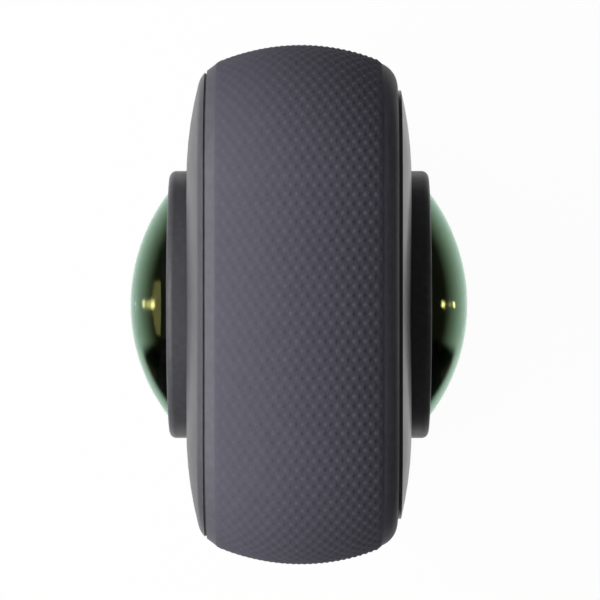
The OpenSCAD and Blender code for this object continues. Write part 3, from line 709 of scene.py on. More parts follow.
PIPE = Finish("frosted_pipe", (0.70, 0.76, 0.73), 0.3, Grain.POLISHED, coat=0.3, mottle=0.05)
BLACK = Finish("black_moulding", (0.016, 0.016, 0.018), 0.45, depth=0.012)
SEAL = Finish("seam_seal", (0.095, 0.093, 0.104), 0.6, Grain.SOFT, specular=0.2, depth=0.004)
RUBBER = Finish("soft_seal", (0.016, 0.016, 0.017), 0.7, Grain.SOFT, specular=0.3)
GOLD = Finish("gold_plate", (0.83, 0.58, 0.22), 0.22, Grain.BRUSHED, metallic=1.0, depth=0.003)
FOIL = Finish("cell_foil", (0.34, 0.35, 0.37), 0.34, Grain.FOIL, metallic=0.9, depth=0.05)

SLOTS: dict[str, Finish] = {
    "band_shell": BAND, "cover_shell": COVER, "lens_ring_black": RING, "dome_glass": DOME,
    "lens_glass": INNER, "barrel_black": BARREL, "sensor": SENSOR, "circuit_board": BOARD,
    "bracket_metal": PLATE, "steel": STEEL, "screen_black": SCREEN, "display": DISPLAY,
    "button_shell": BUTTON, "trim_metal": TRIM, "light_pipe": PIPE, "black_plastic": BLACK,
    "seal_rubber": RUBBER, "gold_contact": GOLD, "cell_wrap": FOIL,
}


def deliver(piece: Piece, body: str, slot: str, finish: Finish, *nodes: str) -> Piece:
    """Finishes a piece: puts its finish on, sets it on its body and logs it.

    Args:
        piece: the object.
        body: the CAD body that it rides on.
        slot: the record's material slot; not used.
        finish: its finish.
        nodes: the CAD nodes it stands for.

    Returns:
        The piece.
    """
    finish.dress(piece)
    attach(piece, body)
    if nodes:
        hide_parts(*nodes)
    LOG.info("%s: %d faces on %s", piece.name, len(piece.data.polygons), body)
    return piece


def deliver_copy(node: str, name: str, body: str, slot: str, finish: Finish, bevel: float = 0.0) -> Piece:
    """Copies a CAD node with its sharp edges rounded by bevel mm, and finishes the copy."""
    return deliver(Bench.from_node(node, name, bevel), body, slot, finish, node)


# ---------------------------------------------------------------- the side band
@dataclass(frozen=True)
class Outline:
    """The rounded outline that the side band runs round, in mm."""

    core_x: float = 11.1
    core_low: float = 11.2
    core_high: float = 101.0
    corner_r: float = 11.85
    crown_r: float = 18.35
    band_y: float = 7.3

    @property
    def bend(self) -> float:
        """Length of a corner's arc."""
        return self.corner_r * math.pi / 2

    @property
    def side(self) -> float:
        """Distance from the middle of the top to the start of a long side."""
        return self.core_x + self.bend

    @property
    def half(self) -> float:
        """Half the way round the outline."""
        return 2 * self.core_x + 2 * self.bend + self.core_high - self.core_low

    @property
    def reach(self) -> float:
        """Half the band's width along its crown."""
        return self.across(self.band_y)

    def across(self, y: float) -> float:
        """Distance along the crown to a height y."""
        return self.crown_r * math.asin(y / self.crown_r)

    def down(self, z: float) -> float:
        """Distance round the outline to a height z on a long side."""
        return self.side + self.core_high - z

    def wrap(self, s: np.ndarray, t: np.ndarray, h: np.ndarray) -> np.ndarray:
        """Lays flat points on the band.

        Args:
            s: distance round from the middle of the top, positive towards +X.
            t: distance across the crown.
            h: height above the band.

        Returns:
            An array of x, y, z in mm.
        """
        u = np.abs(s)
        low = self.side + self.core_high - self.core_low
        turn = np.clip((u - self.core_x) / self.corner_r, 0, math.pi / 2)
        turn = turn + np.clip((u - low) / self.corner_r, 0, math.pi / 2)
        x = np.clip(u, 0, self.core_x) - np.clip(u - low - self.bend, 0, self.core_x)
        z = self.core_high - np.clip(u - self.side, 0, self.core_high - self.core_low)
        angle = t / self.crown_r
        r = self.corner_r - self.crown_r + (self.crown_r + h) * np.cos(angle)
        y = (self.crown_r + h) * np.sin(angle)
        side = np.where(s < 0, -1.0, 1.0)
        return np.stack([side * (x + r * np.sin(turn)), y, z + r * np.cos(turn)], axis=1)


@dataclass(frozen=True)
class Opening:
    """A rounded rectangle on the middle line of the unrolled band, in mm."""

    s: float
    half_s: float
    half_t: float
    corner: float

    def outside(self, s: np.ndarray, t: np.ndarray) -> np.ndarray:
        """Measures each point's distance from the edge.

        Args:
            s: distance round the outline.
            t: distance across the crown.

        Returns:
            The distances, negative inside.
        """
        a = np.abs(s - self.s) - self.half_s + self.corner
        b = np.abs(t) - self.half_t + self.corner
        out = np.hypot(np.maximum(a, 0), np.maximum(b, 0)) + np.minimum(np.maximum(a, b), 0)
        return out - self.corner

    def edge(self, s: np.ndarray, t: np.ndarray) -> tuple[np.ndarray, np.ndarray]:
        """Moves points straight onto the edge.

        Args:
            s: distance round the outline.
            t: distance across the crown.

        Returns:
            The moved points' s and t.
        """
        step = 1e-3
        d = self.outside(s, t)
        ds = (self.outside(s + step, t) - self.outside(s - step, t)) / (2 * step)
        dt = (self.outside(s, t + step) - self.outside(s, t - step)) / (2 * step)
        size = np.maximum(np.hypot(ds, dt), 1e-6)
        return s - d * ds / size, t - d * dt / size


@dataclass
class GripSkin:
    """The raised diamond grip of the side band, one skin for each body that carries it."""

    outline: Outline
    rows: int = 188
    columns: int = 15
    fine: int = 4
    floor: float = 0.015
    depth: float = 0.155
    shares: Pair = (0.5, 1.2)
    fades: Pair = (-0.55, 0.7)
    sharpness: float = 0.9
    rim: float = 0.085
    rim_w: float = 0.42
    lip: float = 0.05
    lip_w: float = 0.12
    root: float = -0.06
    plain: float = 0.35
    snap: float = 0.55
    foot_w: float = 16.2
    merge: float = 0.002

    @property
    def pitch_s(self) -> float:
        """Length of a diamond round the outline."""
        return 2 * self.outline.half / self.rows

    @property
    def pitch_t(self) -> float:
        """Width of a diamond across the band."""
        return 2 * self.outline.reach / self.columns

    def share(self, t: np.ndarray) -> np.ndarray:
        """Gives the share of the full relief, which fades from the rear edge to the front edge."""
        return np.interp(t / self.outline.reach, self.fades, self.shares)

    def crest(self, s: np.ndarray, t: np.ndarray) -> np.ndarray:
        """Gives the diamond lattice: 1 on the crests, 0 in the crossed grooves."""
        a, b = s / self.pitch_s, t / self.pitch_t
        return np.abs(np.cos(math.pi * (a + b)) * np.cos(math.pi * (a - b))) ** self.sharpness

    def skin(self, name: str, field: Opening, holes: Sequence[Opening]) -> Piece:
        """Makes one closed skin.

        Args:
            name: the piece's name.
            field: the outer edge of the skin.
            holes: openings in it.

        Returns:
            The wrapped skin.
        """
        step_s, step_t = self.pitch_s / self.fine, self.pitch_t / self.fine
        s0 = math.floor((field.s - field.half_s) / step_s) * step_s
        t0 = math.floor(-field.half_t / step_t + 1e-6) * step_t
        n_s = math.ceil((field.s + field.half_s - s0) / step_s)
        n_t = math.ceil((field.half_t - t0) / step_t - 1e-6)
        piece = Bench.start(name, bpy.ops.mesh.primitive_grid_add, x_subdivisions=n_s, y_subdivisions=n_t,
                            size=1)
        mesh = piece.data
        flat = np.zeros(len(mesh.vertices) * 3)
        mesh.vertices.foreach_get("co", flat)
        s = s0 + (flat[0::3] + 0.5) * n_s * step_s
        t = t0 + (flat[1::3] + 0.5) * n_t * step_t
        near = self.snap * min(step_s, step_t)
        room = -field.outside(s, t)
        edges = [(field, room)] + [(hole, hole.outside(s, t)) for hole in holes]
        for shape, gap in edges:
            close = np.abs(gap) < near
            es, et = shape.edge(s, t)
            s, t = np.where(close, es, s), np.where(close, et, t)
        room = -field.outside(s, t)
        for hole in holes:
            room = np.minimum(room, hole.outside(s, t))
        lattice = self.crest(s, t)
        fade = np.clip(room / self.rim_w, 0, 1)
        fade = fade * fade * (3 - 2 * fade)
        h = self.rim + (self.floor + self.depth * self.share(t) * lattice - self.rim) * fade
        h = h - self.lip * np.clip(1 - room / self.lip_w, 0, 1)
        self._trim(piece, room)
        self._split(piece, h)
        layer = mesh.attributes.new("crest", "FLOAT", "POINT")
        # crest weight for the grip's colour: lighter worn crests, and painted shade in the grooves
        wear_and_shade = self.plain + (lattice - self.plain) * fade * np.minimum(self.share(t), 1)
        layer.data.foreach_set("value", wear_and_shade.astype(np.float32))
        mesh.vertices.foreach_set("co", np.stack([s, t, h], axis=1).ravel())
        self._close(piece)
        self._lay(piece)
        return piece

    @staticmethod
    def _trim(piece: Piece, room: np.ndarray) -> None:
        """Marks the faces outside the skin with material index 1, by their corners' room."""
        for face in piece.data.polygons:
            face.material_index = int(sum(room[i] for i in face.vertices) / len(face.vertices) < 0.0)

    @staticmethod
    def _split(piece: Piece, h: np.ndarray) -> None:
        """Splits each square along the diagonal that follows its groove.

        Args:
            piece: the flat grid.
            h: each vertex's height.
        """
        def rises(v: Sequence[int]) -> bool:
            """Says whether the first diagonal is the higher one."""
            return bool(h[v[0]] + h[v[2]] > h[v[1]] + h[v[3]])

        for odd, method in ((False, "FIXED"), (True, "FIXED_ALTERNATE")):
            Bench.choose(piece, "FACE", lambda f, odd=odd: len(f.vertices) == 4 and rises(f.vertices) == odd)
            bpy.ops.mesh.quads_convert_to_tris(quad_method=method)
        Bench.close()

    def _close(self, piece: Piece) -> None:
        """Cuts the marked faces away and gives the skin walls and a floor below the band.

        Args:
            piece: the flat skin.
        """
        Bench.choose(piece, "FACE", lambda face: face.material_index == 1)
        bpy.ops.mesh.delete(type="FACE")
        bpy.ops.mesh.select_all(action="SELECT")
        bpy.ops.mesh.remove_doubles(threshold=self.merge)
        bpy.ops.mesh.delete_loose()
        bpy.ops.mesh.select_all(action="SELECT")
        bpy.ops.mesh.extrude_region_move(TRANSFORM_OT_translate={"value": (0, 0, -1)})
        Bench.close()

    def _lay(self, piece: Piece) -> None:
        """Wraps the flat skin round the outline and turns its faces outwards.

        Args:
            piece: the flat skin.
        """
        mesh = piece.data
        flat = np.zeros(len(mesh.vertices) * 3)
        mesh.vertices.foreach_get("co", flat)
        s, t, h = flat[0::3], flat[1::3], flat[2::3]
        h = np.where(h < -0.5, self.root, h)
        laid = self.outline.wrap(s, t, h) * MM
        mesh.vertices.foreach_set("co", laid.ravel())
        mesh.update()
        Bench.edit(piece, True)
        bpy.ops.mesh.normals_make_consistent(inside=False)
        Bench.close()
        Bench.soften(piece, 75)

    def patch(self, side: int, z: float, half_s: float, half_y: float, margin: float,
              corner: float = 0.5) -> Opening:
        """Makes an opening on a long side, -1 the battery's or 1 the port's, with a margin past half_y."""
        o = self.outline
        return Opening(side * o.down(z), half_s, o.across(half_y) + margin, corner)

    def build(self) -> None:
        """Makes the skins of the frame, the battery cover and the port door."""
        frame_skin = Opening(0, self.outline.half - self.foot_w, self.outline.reach, 0.5)
        power = Opening(self.outline.down(60.94), 5.2, 2.5, 2.5)
        pack, notch = self.patch(-1, 41.0, 28.55, 6.45, 0.25), self.patch(-1, 41.0, 29.75, 2.75, 0.3, 0.4)
        door = self.patch(1, 32.555, 9.8, 4.05, 0.25)
        latches = [self.patch(-1, z, 5.2, 2.6, 0.3, 0.4) for z in (64.6, 17.4)]
        nail = self.patch(1, 42.3, 2.0, 1.8, 0.3, 0.4)
        for name, body, field, holes in (
                ("grip_band", "camera_body", frame_skin, [pack, notch, door, power]),
                ("battery_grip", "battery", self.patch(-1, 41.0, 27.75, 6.2, -0.2), latches),
                ("door_grip", "door", self.patch(1, 33.3, 8.3, 3.8, -0.2), [nail])):
            deliver(self.skin(name, field, holes), body, "band_shell", GRIP)


# ---------------------------------------------------------------- the other pieces
@dataclass
class Shells:
    """The moulded shells, which keep their CAD shape and get smooth shading and grain."""

    pieces: tuple[tuple[str, str, str, Finish], ...] = (
        ("side_frame", "camera_body", "band_shell", BAND),
        ("front_cover", "camera_body", "cover_shell", COVER),
        ("rear_cover", "camera_body", "cover_shell", REAR),
        ("battery_cover", "battery", "band_shell", BAND),
        ("port_door", "door", "band_shell", BAND),
    )
    outline: Outline = Outline()
    seal_r: float = 9.43
    seal_t: float = 0.15
    seal_y: Pair = (-8.34, -8.16)

    def build(self) -> None:
        """Copies, smooths and dresses each shell, and lays the seal in the front seam."""
        for node, body, slot, finish in self.pieces:
            deliver_copy(node, node + "_shell", body, slot, finish)
        deliver(self._seal(), "camera_body", "seal_rubber", SEAL)

    def _seal(self) -> Piece:
        """Makes the thin seal between the front cover and the frame.

        Returns:
            The closed ring.
        """
        front, back = (y * MM for y in self.seal_y)
        wide, low, high = ((a + b * self.seal_r) * MM for a, b in (
            (self.outline.core_x, 1), (self.outline.core_low, -1), (self.outline.core_high, 1)))
        seal = Bench.start("cover_seal", bpy.ops.mesh.primitive_cube_add, size=1)
        Bench.edit(seal, True)
        bpy.ops.transform.resize(value=(2 * wide, back - front, high - low))
        bpy.ops.transform.translate(value=(0, (front + back) / 2, (low + high) / 2))
        Bench.close()
        near = 0.01 * MM
        Bench.mark(seal, "EDGE", lambda c: abs(abs(c.x) - wide) < near and min(c.z - low, high - c.z) < near)
        bpy.ops.mesh.bevel(offset=self.seal_r * MM, segments=24, affect="EDGES")
        Bench.close()
        Bench.mark(seal, "FACE", lambda c: min(c.y - front, back - c.y) < near)
        bpy.ops.mesh.inset(thickness=self.seal_t * MM)
        bpy.ops.mesh.bridge_edge_loops()
        Bench.close()
        Bench.clean(seal)
        Bench.soften(seal)
        return seal


@dataclass
class Lens:
    """One fisheye lens: ring, dome and what shows behind the dome."""

    side: str
    sign: int
    axis: Pair = (0.0, LENS_Z)
    ring_r: Pair = (10.42, 12.2)
    ring_y: float = 10.0
    dome_r: float = 10.4
    base_y: float = 11.8
    tip_y: float = 15.4
    seat_y: float = 10.6
    back_y: float = 10.78
    second_r: float = 6.2
    second_tip: float = 13.65
    pupil_r: float = 2.9
    bead_r: float = 1.9
    bead_rise: float = 1.4

    @staticmethod
    def cap(radius: float, base: float, tip: float, parts: int) -> list[Pair]:
        """Points of a spherical cap from its rim to its tip.

        Args:
            radius: the rim's radius.
            base: the rim's y.
            tip: the tip's y.
            parts: segments.

        Returns:
            The arc's points.
        """
        rise = tip - base
        sphere = (radius * radius + rise * rise) / (2 * rise)
        start = math.asin(radius / sphere)
        return [(sphere * math.sin(start * (1 - k / parts)),
                 tip - sphere + sphere * math.cos(start * (1 - k / parts))) for k in range(parts + 1)]

    def build(self) -> None:
        """Turns the ring, the dome, the black paint behind it and the second glass."""
        side, edge, back = self.side, self.dome_r - 0.06, self.back_y
        (bore, outer), low, high = self.ring_r, self.ring_y, self.base_y
        ring = rounded([(bore, low), (outer, low), (outer, high), (bore, high), (bore, low)],
                       [0, 0, 0.62, 0.1, 0], 8)
        dome = self.cap(self.dome_r, self.base_y, self.tip_y, 32)[::-1]
        dome += [(self.dome_r, self.seat_y), (0.0, self.seat_y)]
        top, hole, skin = self.base_y - 0.05, self.second_r - 0.3, edge + 0.03
        paint = [(edge, top), (edge, back), (hole, back), (hole, back - 0.1), (skin, back - 0.1), (skin, top),
                 (edge, top)]
        low, inner = back - 0.05, self.pupil_r
        arc = [p for p in self.cap(self.second_r, back + 0.02, self.second_tip, 28) if p[0] > inner + 0.1]
        second = [(inner, low), (self.second_r, low)] + arc + [(inner, arc[-1][1]), (inner, low)]
        brim, well = arc[-1][1] + 0.12, back + 0.15
        holder = rounded([(0.0, low), (inner + 0.08, low), (inner + 0.08, brim), (inner - 0.35, brim),
                          (self.bead_r + 0.05, well), (0.0, well)], [0, 0, 0.1, 0.1, 0.05, 0], 5)
        bead = self.cap(self.bead_r, back + 0.2, back + 0.2 + self.bead_rise, 16)[::-1]
        bead += [(self.bead_r, back + 0.1), (0.0, back + 0.1)]
        for part, profile, angle, slot, finish, *nodes in (
                ("ring", ring, 35, "lens_ring_black", RING, f"{side}_lens_ring"),
                ("dome", dome, 30, "dome_glass", DOME, f"{side}_lens_dome"),
                ("edge_paint", paint, 30, "barrel_black", PAINT),
                ("second_glass", second, 30, "lens_glass", INNER, f"{side}_second_lens"),
                ("pupil_holder", holder, 30, "barrel_black", HOLDER),
                ("pupil_glass", bead, 30, "lens_glass", PUPIL)):
            points = [(r, self.sign * y) for r, y in profile]
            piece = Bench.lathe(f"{side}_{part}", points, self.axis, 160, angle)
            deliver(piece, "camera_body", slot, finish, *nodes)


@dataclass
class FrontControls:
    """The round screen and the shutter button with its trim ring."""

    screen: Pair = (0.0, 51.91)
    screen_r: float = 15.5
    screen_y: Pair = (-9.75, -8.75)
    shutter: Pair = (0.0, 22.57)
    shutter_r: float = 5.5
    trim_r: Pair = (5.6, 6.6)

    def build(self) -> None:
        """Turns each piece about its own axis."""
        r, (face, back) = self.screen_r, self.screen_y
        glass = rounded([(0, face), (r, face), (r, back), (0, back)], [0, 0.35, 0.1, 0])
        near, far, low = r + 0.04, r + 0.38, face + 0.25
        bezel = rounded([(near, low), (far, low), (far, -10.06), (near, -9.96), (near, low)],
                        [0, 0, 0.12, 0.1, 0], 4)
        r = self.shutter_r
        cap = rounded([(0, -10.10), (2.45, -10.13), (2.6, -9.98), (2.95, -9.98), (3.1, -10.16), (4.7, -10.27),
                       (5.1, -10.3), (r, -10.3), (r, -8.05), (6.3, -8.05), (6.3, -7.45), (0, -7.45)],
                      [0, 0.05, 0.05, 0.05, 0.05, 0.4, 0.4, 0.28, 0.05, 0.1, 0.1, 0], 5)
        (near, far), low, high = self.trim_r, -9.3, -10.1
        trim = rounded([(near, low), (far, low), (far, high), (near, high), (near, low)],
                       [0, 0, 0.2, 0.16, 0], 5)
        screen, shutter = (self.screen, 160), (self.shutter, 128)
        for name, profile, lathe, body, slot, finish, *nodes in (
                ("screen_cover", glass, screen, "camera_body", "screen_black", SCREEN, "screen_glass"),
                ("screen_bezel", bezel, screen, "camera_body", "black_plastic", BEZEL),
                ("shutter_cap", cap, shutter, "shutter", "button_shell", BUTTON, "shutter_button"),
                ("shutter_ring", trim, shutter, "camera_body", "trim_metal", TRIM, "shutter_trim")):
            deliver(Bench.lathe(name, profile, *lathe), body, slot, finish, *nodes)


@dataclass
class Signals:
    """The status light and the microphone of one broad face."""

    side: str
    sign: int
    light_z: float
    light_y: Pair
    light_r: float = 0.8
    mic_z: float = 72.605
    mic_y: Pair = (8.95, 8.65)
    mic_r: float = 0.5

    def build(self) -> None:
        """Turns the light's lens and the microphone's mesh."""
        light = self._plug("light_lens", self.light_z, self.light_r, *self.light_y)
        deliver(light, "camera_body", "light_pipe", PIPE, f"{self.side}_status_light")
        mesh = self._plug("mic_mesh", self.mic_z, self.mic_r, *self.mic_y)
        deliver(mesh, "camera_body", "black_plastic", MESH)

    def _plug(self, part: str, z: float, radius: float, face: float, back: float) -> Piece:
        """Turns a small round plug with a domed face.

        Args:
            part: what it is.
            z: height of its axis.
            radius: its radius.
            face: how far out its face is.
            back: how far out its inner end is.

        Returns:
            The plug.
        """
        dome = [(0, 0), (0.37, 0.025), (0.69, 0.075), (0.9, 0.15), (1, 0.275)]
        profile = [(r * radius, face - drop * radius) for r, drop in dome] + [(radius, back), (0, back)]
        points = [(r, self.sign * y) for r, y in profile]
        return Bench.lathe(f"{self.side}_{part}", points, (0, z), 48, 40)


@dataclass
class SpeakerGrille:
    """The grille behind the speaker's slots."""

    speaker: Pair = (11.35, 40.03)
    slot_pitch: float = 2.2

    def build(self) -> None:
        """Lays the grille's bars and rails."""
        x, z = self.speaker
        bar = Bench.block("speaker_grille", (x - 2.95, 8.5, z - 2.75), (x - 2.83, 8.62, z - 1.65), 0.03, 1)
        Bench.row(bar, 21, (0.29, 0, 0))
        rail = Bench.block("rail", (x - 3.1, 8.55, z - 2.28), (x + 3.1, 8.67, z - 2.12), 0.03, 1)
        Bench.row(Bench.join(bar, rail), 3, (0, 0, self.slot_pitch))
        Bench.soften(bar, 30)
        deliver(bar, "camera_body", "black_plastic", MESH)


@dataclass
class PortSide:
    """The power button, the charging port and what shows when the door is open."""

    power_z: float = 60.94
    port_z: float = 34.03

    def build(self) -> None:
        """Rounds the power button, and gives the port's tongue its contacts."""
        deliver_copy("power_button", "power_cap", "power", "button_shell", BUTTON, 0.22)
        z = self.power_z - 1.8
        rib = Bench.block("power_ribs", (22.8, -1.0, z - 0.22), (23.05, 1.0, z + 0.22), 0.1)
        Bench.row(rib, 4, (0, 0, 1.2))
        deliver(rib, "power", "button_shell", BUTTON)
        deliver_copy("usb_port", "port_shell", "camera_body", "steel", STEEL, 0.08)
        deliver_copy("usb_tongue", "port_tongue", "camera_body", "black_plastic", BLACK, 0.08)
        z = self.port_z - 2.45
        for side, y in (("front", -0.36), ("rear", 0.32)):
            low, high = (14.2, y, z - 0.15), (18.5, y + 0.04, z + 0.15)
            pad = Bench.block(f"port_contacts_{side}", low, high, 0.015, 1)
            Bench.row(pad, 8, (0, 0, 0.7))
            deliver(pad, "camera_body", "gold_contact", GOLD)
        deliver_copy("port_door_seal", "door_plug", "door", "seal_rubber", RUBBER, 0.14)
        deliver_copy("port_door_pin", "door_pin", "camera_body", "steel", STEEL, 0.06)


@dataclass
class BatteryPack:
    """The battery's case, its latches and the bay that it slides into."""

    case_low: Triple = (-21.05, -3.65, 16.0)
    case_high: Triple = (2.7, 5.55, 66.0)
    panel_edge: float = 1.6
    panel_slope: float = 0.25
    panel_sink: float = 0.2
    rib_z: Pair = (63.1, 18.9)
    rib_pitch: float = 1.05
    seal_sink: float = 0.06

    def build(self) -> None:
        """Makes the case with its sunk panels, the ribbed latches and the bay."""
        case = Bench.block("battery_housing", self.case_low, self.case_high, 0.5, 4)
        for y in (self.case_low[1], self.case_high[1]):
            Bench.mark(case, "FACE", lambda c, y=y: abs(c.y - y * MM) < 1e-6)
            bpy.ops.mesh.inset(thickness=self.panel_edge * MM)
            bpy.ops.mesh.inset(thickness=self.panel_slope * MM, depth=-self.panel_sink * MM)
            Bench.close()
        Bench.soften(case, 30)
        deliver(case, "battery", "black_plastic", BLACK, "battery_case")
        for end, z, way in zip(("upper", "lower"), self.rib_z, (1, -1)):
            body = f"{end}_latch"
            deliver_copy(f"{end}_battery_latch", f"{body}_slide", body, "button_shell", BUTTON, 0.14)
            rib = Bench.block(f"{body}_ribs", (-23.05, -1.75, z - 0.26), (-22.6, 1.75, z + 0.26), 0.14)
            Bench.row(rib, 5, (0, 0, way * self.rib_pitch))
            deliver(rib, body, "button_shell", BUTTON)
        gasket = Bench.from_node("battery_seal", "battery_gasket", 0.1)
        self._sink(gasket)
        deliver(gasket, "battery", "seal_rubber", RUBBER, "battery_seal")
        deliver_copy("battery_contacts", "battery_pads", "battery", "gold_contact", GOLD, 0.06)
        deliver_copy("battery_bay", "bay_sleeve", "camera_body", "black_plastic", BLACK, 0.15)
        deliver_copy("contact_pins", "bay_pins", "camera_body", "gold_contact", GOLD, 0.12)
        deliver_copy("memory_card", "card_shell", "card", "black_plastic", BLACK, 0.12)

    def _sink(self, seal: Piece) -> None:
        """Lowers the seal's outer face, so that the latches slide clear of it.

        Args:
            seal: the gasket.
        """
        face = min(v.co.x for v in seal.data.vertices) + self.seal_sink * MM
        Bench.mark(seal, "VERT", lambda c: c.x < face)
        bpy.ops.transform.translate(value=(self.seal_sink * MM, 0, 0))
        Bench.close()


@dataclass
class TripodMount:
    """The threaded bush in the foot."""

    pitch: float = 1.27
    minor_r: float = 2.6
    major_r: float = 3.18
    first_z: float = 0.95
    root_half: float = 0.58
    crest_half: float = 0.09
    turns: int = 4

    def build(self) -> None:
        """Turns the bush and winds the thread's ridge up its bore."""
        bush = rounded([(0, 7.5), (4.2, 7.5), (4.2, 1.0), (5.2, 1.0), (5.2, 0.0), (3.65, 0.0),
                        (self.major_r, 0.45), (self.major_r, 6.5), (0, 6.5)],
                       [0, 0.3, 0.1, 0.1, 0.15, 0.08, 0.1, 0.2, 0], 4)
        deliver(Bench.lathe("tripod_bush", bush, steps=96, upright=True), "camera_body", "steel", STEEL,
                "tripod_insert")
        ridge = Bench.start("tripod_thread", bpy.ops.mesh.primitive_plane_add, size=MM)
        corners = [(r, way * half) for r, half in ((self.major_r + 0.1, self.root_half),
                                                   (self.minor_r, self.crest_half)) for way in (-1, 1)]
        order = sorted(ridge.data.vertices, key=lambda v: (-v.co.x, v.co.y))
        for vert, (r, z) in zip(order, corners):
            vert.co = Vector((r, 0, self.first_z + z)) * MM
        Bench.edit(ridge, True)
        bpy.ops.mesh.delete(type="ONLY_FACE")
        Bench.close()
        Bench.modify(ridge, "SCREW", axis="Z", angle=math.tau, screw_offset=self.pitch * MM,
                     iterations=self.turns, steps=40, render_steps=40, use_smooth_shade=True)
        Bench.edit(ridge, True)
        bpy.ops.mesh.fill_holes(sides=8)
        Bench.close()
        Bench.clean(ridge)
        Bench.soften(ridge, 30)
        deliver(ridge, "camera_body", "steel", STEEL)


# ---------------------------------------------------------------- the studio
@dataclass(frozen=True)
class Lamp:
    """One soft lamp of the studio. A spark lamp shows only through glass, as a glint in a lens."""

    name: str
    place: Triple
    size: Pair
    power: float
    spark: bool = False

    def hang(self, aim: Vector) -> None:
        """Adds the lamp, turned to the object.

        Args:
            aim: the point it looks at.
        """
        data = bpy.data.lights.new(self.name, "AREA")
        data.shape, data.size, data.size_y = "RECTANGLE", *self.size
        data.energy = self.power
        lamp = bpy.data.objects.new(self.name, data)
        lamp.location = self.place
        lamp.rotation_mode = "QUATERNION"
        lamp.rotation_quaternion = (aim - Vector(self.place)).to_track_quat("-Z", "Y")
        lamp.visible_camera = False
        lamp.visible_diffuse = lamp.visible_glossy = not self.spark
        bpy.context.scene.collection.objects.link(lamp)


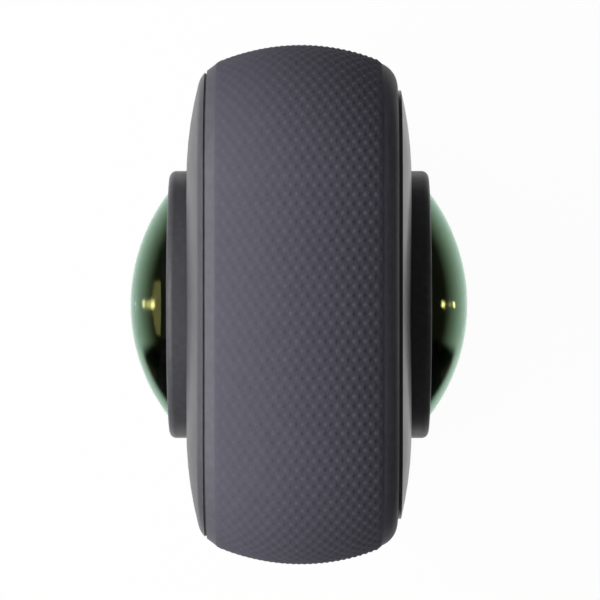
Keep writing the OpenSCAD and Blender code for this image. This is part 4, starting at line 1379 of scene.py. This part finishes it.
@dataclass
class Studio:
    """Floor, world, lamps and camera, in metres.

    Levels go with places: near and far with pool, matt with matt_y, bounce with bounce_y.
    """

    camera_place: Triple = (-0.00041, 0.00009, 0.490)
    focal: float = 262.56
    sensor: float = 36.0
    aim: Triple = (0.0, 0.0, 0.06)
    floor_r: float = 3.0
    floor_drop: float = 0.0002
    ambient: float = 0.136
    horizon: float = 0.20
    lean: float = 0.58
    pool: Pair = (0.058, 0.19)
    near: float = 1.16
    far: float = 0.04
    shade: float = 0.02
    shade_slope: float = 0.22
    shade_x: Pair = (-0.002, 0.010)
    shade_y: Pair = (0.05, 0.085)
    # matt floor colour at the front and the rear: painted shade, darker towards the rear
    rear_shaded_matt: Pair = (0.82, 0.40)
    matt_y: Pair = (-0.04, 0.12)
    bounce: Pair = (0.36, 0.42)
    bounce_y: Pair = (-0.03, 0.01)
    white: float = 0.97
    through_glass: float = 0.9
    horizon_z: Pair = (-0.05, 0.16)
    lamps: tuple[Lamp, ...] = (
        Lamp("key", (0.06, -0.69, 0.60), (1.1, 0.6), 13.2),
        Lamp("front_catch", (0.0, -0.88, 0.22), (0.13, 0.10), 1.7),
        Lamp("rear_catch", (0.0, 0.88, 0.22), (0.052, 0.036), 0.24),
        Lamp("front_spark_high", (0.0, -0.82, 0.36), (0.12, 0.10), 7.0, True),
        Lamp("front_spark_low", (0.0, -0.90, 0.03), (0.12, 0.08), 6.0, True),
        Lamp("rear_spark_high", (0.0, 0.80, 0.42), (0.10, 0.08), 4.0, True),
        Lamp("rear_spark_low", (0.0, 0.90, 0.05), (0.10, 0.08), 5.5, True),
    )

    def build(self) -> None:
        """Sets up everything round the object."""
        bpy.context.scene.view_settings.view_transform = "Standard"
        self._floor()
        self._world()
        for lamp in self.lamps:
            lamp.hang(Vector(self.aim))
        data = bpy.data.cameras.new("camera_view")
        data.lens, data.sensor_width = self.focal, self.sensor
        camera = bpy.data.objects.new("camera_view", data)
        camera.location = self.camera_place
        camera.rotation_euler = (0, 0, math.pi / 2)
        bpy.context.scene.collection.objects.link(camera)
        bpy.context.scene.camera = camera

    def _floor(self) -> None:
        """Lays the pale floor: white to the camera, with a bright pool round the object in reflections.

        A mirrored wedge beside each lens is shaded, the floor's own light differs from front to rear, and its
        matt colour is painted darker towards the rear as painted shade.
        """
        floor = Bench.start("floor", bpy.ops.mesh.primitive_circle_add, vertices=64, radius=self.floor_r,
                            fill_type="NGON")
        floor.location = (0, 0, -self.floor_drop)
        material = bpy.data.materials.new("pale_floor")
        material.use_nodes = True
        wires = Wires(material.node_tree)
        path = wires.add("ShaderNodeLightPath").outputs
        x, y = wires.place("Object", "X", "Y")
        wide = wires.math("ABSOLUTE", y)
        squares = [wires.math("MULTIPLY", axis, axis) for axis in (x, y)]
        radius = wires.math("SQRT", wires.math("ADD", *squares))
        slant = wires.math("SUBTRACT", x, wires.math("MULTIPLY", wide, self.shade_slope))
        wedge = wires.math("MULTIPLY", wires.ramp(slant, *self.shade_x, 0, 1),
                           wires.ramp(wide, *self.shade_y, 0, 1))
        pool = wires.math("MULTIPLY", wires.ramp(radius, *self.pool, self.near, self.far),
                          wires.ramp(wedge, 0, 1, 1, self.shade))
        shiny = path["Is Glossy Ray"]
        dim = wires.math("MULTIPLY", shiny, wires.math("SUBTRACT", pool, 1.0))
        glow = wires.add("ShaderNodeEmission", Strength=wires.math("ADD", dim, 1.0))
        # the matt colour ramps darker towards the rear: painted shade on the floor
        rear_shaded_matt = wires.add("ShaderNodeBsdfDiffuse", Color=wires.ramp(y, *self.matt_y, *self.rear_shaded_matt))
        seen = shiny
        for ray, share in (("Is Camera Ray", self.white), ("Is Transmission Ray", self.through_glass),
                           ("Is Diffuse Ray", wires.ramp(y, *self.bounce_y, *self.bounce))):
            seen = wires.math("MAXIMUM", seen, wires.math("MULTIPLY", path[ray], share))
        mix = wires.add("ShaderNodeMixShader")
        for socket, target in zip((seen, rear_shaded_matt.outputs[0], glow.outputs[0]), mix.inputs):
            wires.feed(socket, target)
        wires.add("ShaderNodeOutputMaterial", Surface=mix.outputs[0])
        floor.data.materials.append(material)

    def _world(self) -> None:
        """Makes a dim world that is white to the camera and paler at the horizon in reflections."""
        world = bpy.data.worlds.new("studio")
        bpy.context.scene.world = world
        world.use_nodes = True
        wires = Wires(world.node_tree)
        path = wires.add("ShaderNodeLightPath").outputs
        height, side = wires.place("Generated", "Z", "Y")
        shiny = wires.math("MAXIMUM", path["Is Glossy Ray"], path["Is Transmission Ray"])
        glow = wires.ramp(height, *self.horizon_z, self.horizon - self.ambient, 0)
        rise = wires.math("MULTIPLY", glow, shiny)
        lean = wires.math("SUBTRACT", 1.0, wires.math("MULTIPLY", side, self.lean))
        dim = wires.math("MULTIPLY", wires.math("ADD", rise, self.ambient), lean)
        back = wires.add("ShaderNodeBackground", Color=(1, 1, 1, 1),
                         Strength=wires.math("MAXIMUM", dim, path["Is Camera Ray"]))
        wires.add("ShaderNodeOutputWorld", Surface=back.outputs[0])


def dress_nodes() -> None:
    """Puts each CAD node's finish on, by its slot in the record."""
    for part in frame["record"]["subparts"]:
        SLOTS[part["material_slot"]].dress(frame["nodes"][part["node"]])


def main() -> None:
    """Builds the sub-assemblies in order."""
    logging.basicConfig(level=logging.INFO, format="%(name)s %(message)s")
    dress_nodes()
    outline = Outline()
    GripSkin(outline).build()
    Shells().build()
    Lens("front", -1).build()
    Lens("rear", 1).build()
    for group in (FrontControls(), Signals("front", -1, 32.79, (10.0, 8.15)),
                  Signals("rear", 1, 68.605, (10.0, 7.7)), SpeakerGrille(), PortSide(), BatteryPack(),
                  TripodMount()):
        group.build()
    Studio().build()


if __name__ == "__main__":
    main()
